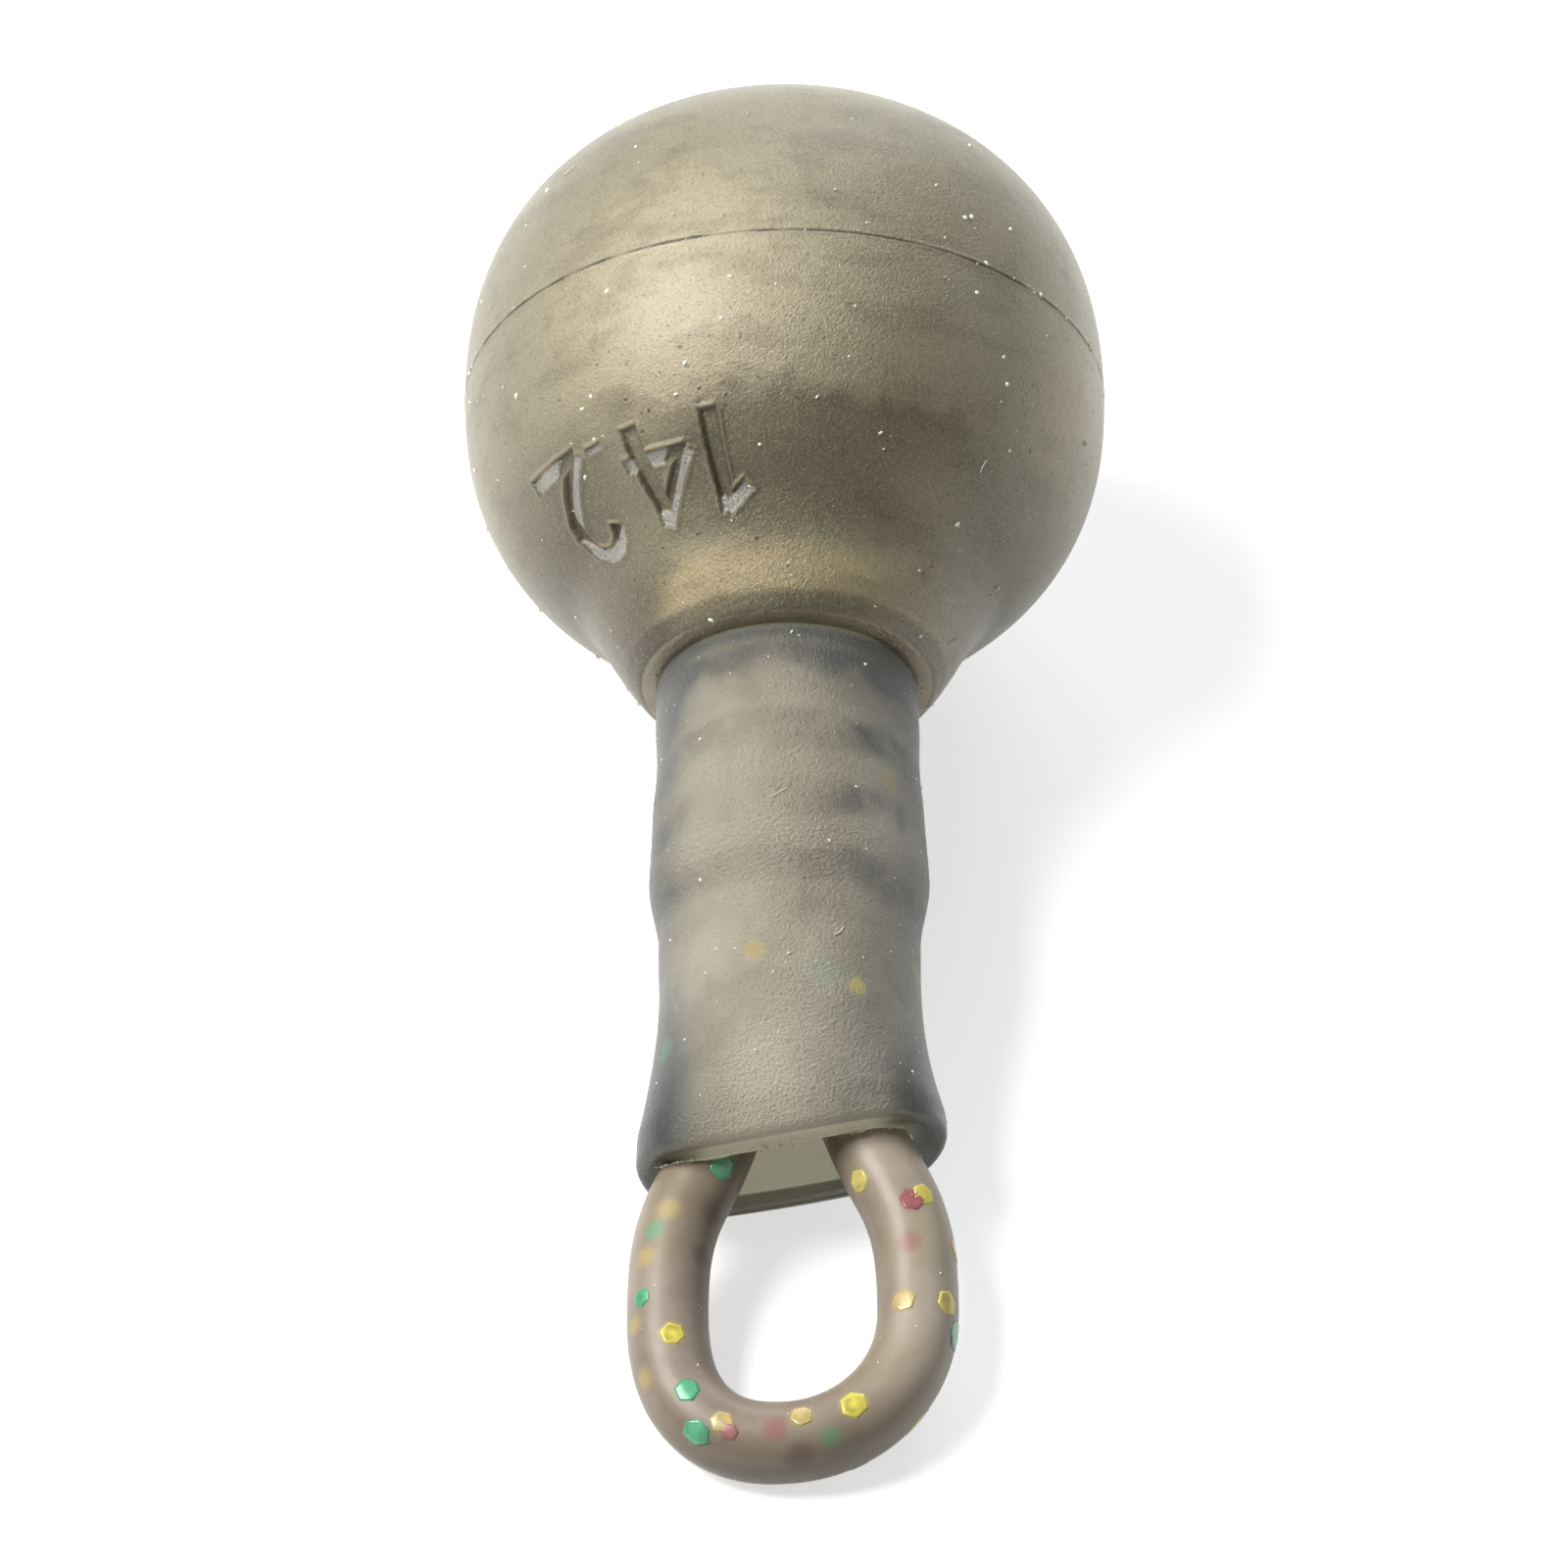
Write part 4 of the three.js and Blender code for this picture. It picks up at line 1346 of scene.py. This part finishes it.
def speck(centre, normal, size, chance):
    """A flattened little grain lying on a surface."""
    a, b = spun_sides(normal, chance)
    stretch = chance.uniform(0.6, 1.6)
    points = []
    for ring, (width, height) in enumerate([(1.0, 0.0), (0.75, 0.55)]):
        for k in range(6):
            angle = k * math.pi / 3 + 0.3 * ring
            jag = chance.uniform(0.75, 1.15)
            spot = a * math.cos(angle) * stretch + b * math.sin(angle) / stretch
            points.append(centre + (spot * width * jag + normal * height) * size)
    points.append(centre + normal * size * 0.7)
    faces = []
    for k in range(6):
        after = (k + 1) % 6
        faces += [(k, after, 6 + after, 6 + k), (6 + k, 6 + after, 12)]
    return points, faces


def fibre(centre, normal, run, chance):
    """A short bent hair lying on a surface."""
    along, _ = spun_sides(normal, chance)
    bend = along.cross(normal) * chance.uniform(-0.1, 0.1)
    thick, steps = 0.011, 7
    points = []
    for t in np.linspace(-0.5, 0.5, steps).tolist():
        middle = centre + along * run * t + bend * run * (1 - 4 * t * t) + normal * thick
        for k in range(4):
            angle = k * math.pi / 2
            spot = normal * math.cos(angle) + bend.normalized() * math.sin(angle)
            points.append(middle + spot * thick)
    last = len(points) - 1
    ends = [(0, 1, 2, 3), (last, last - 1, last - 2, last - 3)]
    return points, ring_faces(steps, 4) + ends


def scattered(spots, chance, low, high, hairs):
    """Specks and a few hairs at spots of (centre, normal), as one mesh."""
    points, faces = [], []
    for i, (centre, normal) in enumerate(spots):
        place = Vector(centre), Vector(normal)
        if i < hairs:
            made, sides = fibre(*place, chance.uniform(0.25, 0.5), chance)
        else:
            size = low + (high - low) * chance.random() ** 3
            made, sides = speck(*place, size, chance)
        first = len(points)
        points += [list(p) for p in made]
        faces += [tuple(first + v for v in face) for face in sides]
    return points, faces


def spots_on_coat(ball, chance):
    """Places and normals all over the coat, the last ones along its parting line."""
    outline = coat_outline(ball)
    square = side_of(outline)
    seam = int(np.argmin(np.abs(outline[:, 1])))
    spots = []
    while len(spots) < COAT_SPECKS + SEAM_SPECKS:
        index = int(chance.random() * (len(outline) - 60))
        if len(spots) > COAT_SPECKS:
            index = seam + chance.randint(-2, 2)
        if chance.random() * ball.radius > outline[index, 0]:
            continue
        turns = np.array([chance.uniform(-math.pi, math.pi)])
        row = slice(index, index + 1)
        place, normal = [
            revolved(part[row, 1], part[row, 0], turns)[0, 0] for part in (outline, square)
        ]
        spots.append((place, normal))
    return spots


def spots_on_sleeve(sleeve, stem, chance):
    start, mouth = sleeve.start, sleeve.start + sleeve.run
    spots = []
    for _ in range(SLEEVE_SPECKS):
        reach = chance.uniform(start + 0.2, mouth - 0.5)
        around = chance.uniform(0, 2 * math.pi)
        here, onward, aside = [
            sleeve_outside(sleeve, stem, reach + a, around + b)
            for a, b in ((0, 0), (0.05, 0), (0, 0.05))
        ]
        normal = unit(np.cross(aside - here, onward - here))
        outwards = normal @ (here * [1, 0, 1]) >= 0
        spots.append((here, normal if outwards else -normal))
    return spots


def spots_on_cord(cord, sleeve, chance):
    route = cord_route(cord, sleeve)
    radius = cord.radius
    spots = []
    for _ in range(CORD_SPECKS):
        place = [chance.uniform(7.5, route[1][-1] - 7.5)]
        degrees = [chance.uniform(0, 360)]
        here, middle = [cord_point(route, place, degrees, [r])[0] for r in (radius, 0.0)]
        spots.append((here, (here - middle) / radius))
    return spots


# ---------------------------------------------------------------- operators


class BackLeadPiece:
    """What the operators share."""

    bl_options = {"REGISTER", "UNDO"}

    @staticmethod
    def groups(context):
        """The settings of ball, stem, sleeve, cord, finish and studio."""
        return [Sizes(getattr(context.scene, name)) for name in GROUPS]


class BACKLEAD_OT_ball(BackLeadPiece, bpy.types.Operator):
    """Add the coated ball with its parting line, neck and sunk number"""

    bl_idname = "back_lead.add_ball"
    bl_label = "Ball"

    def execute(self, context):
        ball, _, _, _, finish, _ = self.groups(context)
        points, faces, painted = coat_surface(ball)
        coat = add_mesh("coat", points, faces, coat_material(finish), **painted)
        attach(coat, "weight")
        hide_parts("ball_coat")
        core = frame["nodes"]["lead_core"]
        core.data.materials.clear()
        core.data.materials.append(lead_material(finish))
        return {"FINISHED"}


class BACKLEAD_OT_stem(BackLeadPiece, bpy.types.Operator):
    """Add the ringed stem that the sleeve is pushed over"""

    bl_idname = "back_lead.add_stem"
    bl_label = "Stem"

    def execute(self, context):
        _, stem, _, _, finish, _ = self.groups(context)
        outline = stem_outline(stem)
        line = resampled(outline, np.linspace(0, run_along(outline)[-1], 220))
        turns = np.linspace(0, 2 * math.pi, 73)[:-1]
        grid = revolved(line[1:-1, 1], line[1:-1, 0], turns)
        ends = [[0, -line[0, 1], 0], [0, -line[-1, 1], 0]]
        points = np.vstack([grid.reshape(-1, 3), ends])
        faces = capped_faces(*grid.shape[:2])
        made = add_mesh("stem", points, faces, stem_material(finish))
        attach(made, "weight")
        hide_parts("ringed_stem")
        return {"FINISHED"}


class BACKLEAD_OT_sleeve(BackLeadPiece, bpy.types.Operator):
    """Add the silicone sleeve"""

    bl_idname = "back_lead.add_sleeve"
    bl_label = "Sleeve"

    def execute(self, context):
        _, stem, sleeve, _, finish, _ = self.groups(context)
        points, faces, painted = sleeve_surface(sleeve, stem)
        material = sleeve_material(finish, sleeve, stem)
        made = add_mesh("sleeve", points, faces, material, **painted)
        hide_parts("silicone_sleeve")
        pale = Shader("silicone crumbs").finish(Base_Color=finish.cut_edge, Roughness=0.45)
        crumbs = add_mesh("crumbs", *cut_crumbs(sleeve, stem), pale)
        for piece in (made, crumbs):
            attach(piece, "tail")
        return {"FINISHED"}


def bend_cord(piece):
    """Bake a piece of the cord's placement into its mesh."""
    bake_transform(piece)


class BACKLEAD_OT_cord(BackLeadPiece, bpy.types.Operator):
    """Add the loop cord with the flakes in it"""

    bl_idname = "back_lead.add_cord"
    bl_label = "Loop cord"

    def execute(self, context):
        _, _, sleeve, cord, finish, _ = self.groups(context)
        route = cord_route(cord, sleeve)
        flakes = all_flakes(cord, route)
        points, faces, painted = cord_surface(cord, finish, route, flakes)
        made = add_mesh("cord", points, faces, cord_material(finish), **painted)
        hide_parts("cord_loop", "cord_end_left", "cord_end_right")
        pieces = [made]
        for tone in ("gold", "yellow", "green", "red", "plum"):
            sharp = [flake for flake in flakes if flake[2] == tone and flake[4] > SHARP]
            if not sharp:
                continue
            colours = getattr(finish, tone), finish.cord
            pale_rim = tone in ("gold", "yellow")
            material = flake_material(f"{tone} flake", *colours, pale_rim)
            points, faces, painted = flake_surface(cord, route, sharp)
            pieces.append(add_mesh(f"flakes_{tone}", points, faces, material, **painted))
        for piece in pieces:
            bend_cord(piece)
        return {"FINISHED"}


class BACKLEAD_OT_dust(BackLeadPiece, bpy.types.Operator):
    """Scatter fine dust and a few hairs over the coat and the sleeve"""

    bl_idname = "back_lead.add_dust"
    bl_label = "Dust"

    def execute(self, context):
        ball, stem, sleeve, cord, finish, _ = self.groups(context)
        shade = finish.dust
        # Painted light: the dust glows a little, so it stays pale in shade.
        material = Shader("dust").finish(
            Base_Color=shade, Roughness=0.7, Emission_Color=shade, Emission_Strength=0.15
        )
        chance = random.Random(3)

        def add_dust(name, spots, smallest, largest, hairs):
            points, faces = scattered(spots, chance, smallest, largest, hairs)
            return add_mesh(name, points, faces, material)

        made = add_dust("dust_on_coat", spots_on_coat(ball, chance), 0.012, 0.066, 10)
        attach(made, "weight")
        spots = spots_on_sleeve(sleeve, stem, chance)
        made = add_dust("dust_on_sleeve", spots, 0.01, 0.042, 4)
        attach(made, "tail")
        spots = spots_on_cord(cord, sleeve, chance)
        bend_cord(add_dust("dust_on_cord", spots, 0.008, 0.034, 0))
        return {"FINISHED"}


def area_lamp(name, target, direction, distance, size, amount, tint):
    """A soft lamp that gives a white floor the stated share of full white."""
    way = Vector(direction).normalized()
    lamp = bpy.data.lights.new(name, "AREA")
    lamp.shape = "SQUARE"
    lamp.size = size
    lamp.color = tint
    lamp.energy = amount * math.pi**2 * distance**2 / max(way.z, 0.2)
    made = placed(name, lamp)
    made.location = target + way * distance
    made.rotation_euler = way.to_track_quat("Z", "Y").to_euler()
    return made


class BACKLEAD_OT_stage(BackLeadPiece, bpy.types.Operator):
    """Add the pale floor, the soft lamps, the room light and the camera"""

    bl_idname = "back_lead.add_stage"
    bl_label = "Stage"

    def execute(self, context):
        scene = context.scene
        *_, finish, studio = self.groups(context)
        scene.view_settings.view_transform = "Standard"
        self.add_floor(finish)
        target = Vector((0.0, 0.0, 0.007))
        warm, cool, white = (1.0, 0.98, 0.94), (0.9, 0.93, 1.0), (1.0, 1.0, 1.0)
        lamps = [
            area_lamp("key", target, (-0.58, 0.0, 0.81), 0.3, 0.16, studio.key, warm),
            area_lamp("back", target, (0.15, 0.85, 0.55), 0.34, 0.22, studio.back, cool),
            area_lamp("side", target, (0.9, 0.1, 0.35), 0.34, 0.18, studio.side, white),
        ]
        self.add_room(scene, studio)
        self.add_camera(scene, studio)
        return {"FINISHED"}

    @staticmethod
    def add_floor(finish):
        shader = Shader("pale floor")
        outputs = shader.node("ShaderNodeLightPath").socket.node.outputs
        rays = ("Is Camera Ray", "Is Glossy Ray", "Is Transmission Ray")
        camera, glossy, through = [Wire(shader, outputs[name]) for name in rays]
        seen = (camera + glossy + through).clamped()
        material = shader.finish(
            Base_Color=shader.mix(seen, grey(0.22), finish.floor),
            Roughness=0.9,
            Specular_IOR_Level=0.1,
            Emission_Color=shader.mix(seen, grey(0.0), grey(0.62)),
            Emission_Strength=1.0,
        )
        half, back, radius, top = 0.6, 0.55, 0.25, 0.7
        profile = [(-half, 0)]
        for angle in np.linspace(0, math.pi / 2, 13):
            rise = radius * (1 - math.cos(angle))
            profile.append((back - radius + radius * math.sin(angle), rise))
        profile.append((back, top))
        points = [(x, y, z) for y, z in profile for x in (-half, half)]
        faces = [(i, i + 1, i + 3, i + 2) for i in range(0, len(points) - 2, 2)]
        mesh = bpy.data.meshes.new("floor")
        mesh.from_pydata(points, [], faces)
        mesh.polygons.foreach_set("use_smooth", [True] * len(faces))
        mesh.materials.append(material)
        floor = placed("floor", mesh)

    @staticmethod
    def add_room(scene, studio):
        world = bpy.data.worlds.new("room")
        world.use_nodes = True
        light = world.node_tree.nodes["Background"]
        light.inputs["Color"].default_value = (0.95, 0.97, 1.0, 1.0)
        light.inputs["Strength"].default_value = studio.room
        scene.world = world

    @staticmethod
    def add_camera(scene, studio):
        place = tail_frame()
        axes = place.to_3x3().normalized()
        tilt, roll, far = studio.tilt, studio.roll, studio.distance
        reach = studio.look_reach + far * math.sin(tilt)
        spot = Vector((studio.look_side, -reach, far * math.cos(tilt)))
        right = axes @ Vector((1, 0, 0))
        down = axes @ Vector((0, -math.cos(tilt), -math.sin(tilt)))
        level = right * math.cos(roll) - down * math.sin(roll)
        up = -(right * math.sin(roll) + down * math.cos(roll))
        lens = bpy.data.cameras.new("camera")
        lens.lens = studio.lens
        lens.sensor_width = 36
        lens.sensor_fit = "HORIZONTAL"
        lens.clip_start = 0.01
        scene.camera = placed("camera", lens)
        matrix = Matrix((level, up, level.cross(up))).transposed().to_4x4()
        matrix.translation = place @ spot
        scene.camera.matrix_world = matrix


class BACKLEAD_PT_panel(bpy.types.Panel):
    """Lists the pieces of the back lead and their sizes"""

    bl_label = "Back Lead"
    bl_idname = "BACKLEAD_PT_panel"
    bl_space_type = "VIEW_3D"
    bl_region_type = "UI"
    bl_category = "Back Lead"

    def draw(self, context):
        layout = self.layout
        for operator in OPERATORS:
            layout.operator(operator.bl_idname)
        for name, group in GROUPS.items():
            box = layout.box()
            box.label(text=group.__doc__)
            settings = getattr(context.scene, name)
            for key in group.__annotations__:
                box.prop(settings, key)


GROUPS = {
    "back_lead_ball": BallSettings,
    "back_lead_stem": StemSettings,
    "back_lead_sleeve": SleeveSettings,
    "back_lead_cord": CordSettings,
    "back_lead_finish": FinishSettings,
    "back_lead_studio": StudioSettings,
}
OPERATORS = (
    BACKLEAD_OT_ball,
    BACKLEAD_OT_stem,
    BACKLEAD_OT_sleeve,
    BACKLEAD_OT_cord,
    BACKLEAD_OT_dust,
    BACKLEAD_OT_stage,
)
CLASSES = (*GROUPS.values(), *OPERATORS, BACKLEAD_PT_panel)


def register():
    for item in CLASSES:
        bpy.utils.register_class(item)
    for name, group in GROUPS.items():
        setattr(bpy.types.Scene, name, PointerProperty(type=group))


def unregister():
    for name in GROUPS:
        delattr(bpy.types.Scene, name)
    for item in reversed(CLASSES):
        bpy.utils.unregister_class(item)


def main():
    register()
    bpy.ops.back_lead.add_ball()
    bpy.ops.back_lead.add_stem()
    bpy.ops.back_lead.add_sleeve()
    bpy.ops.back_lead.add_cord()
    bpy.ops.back_lead.add_dust()
    bpy.ops.back_lead.add_stage()


if __name__ == "__main__":
    main()
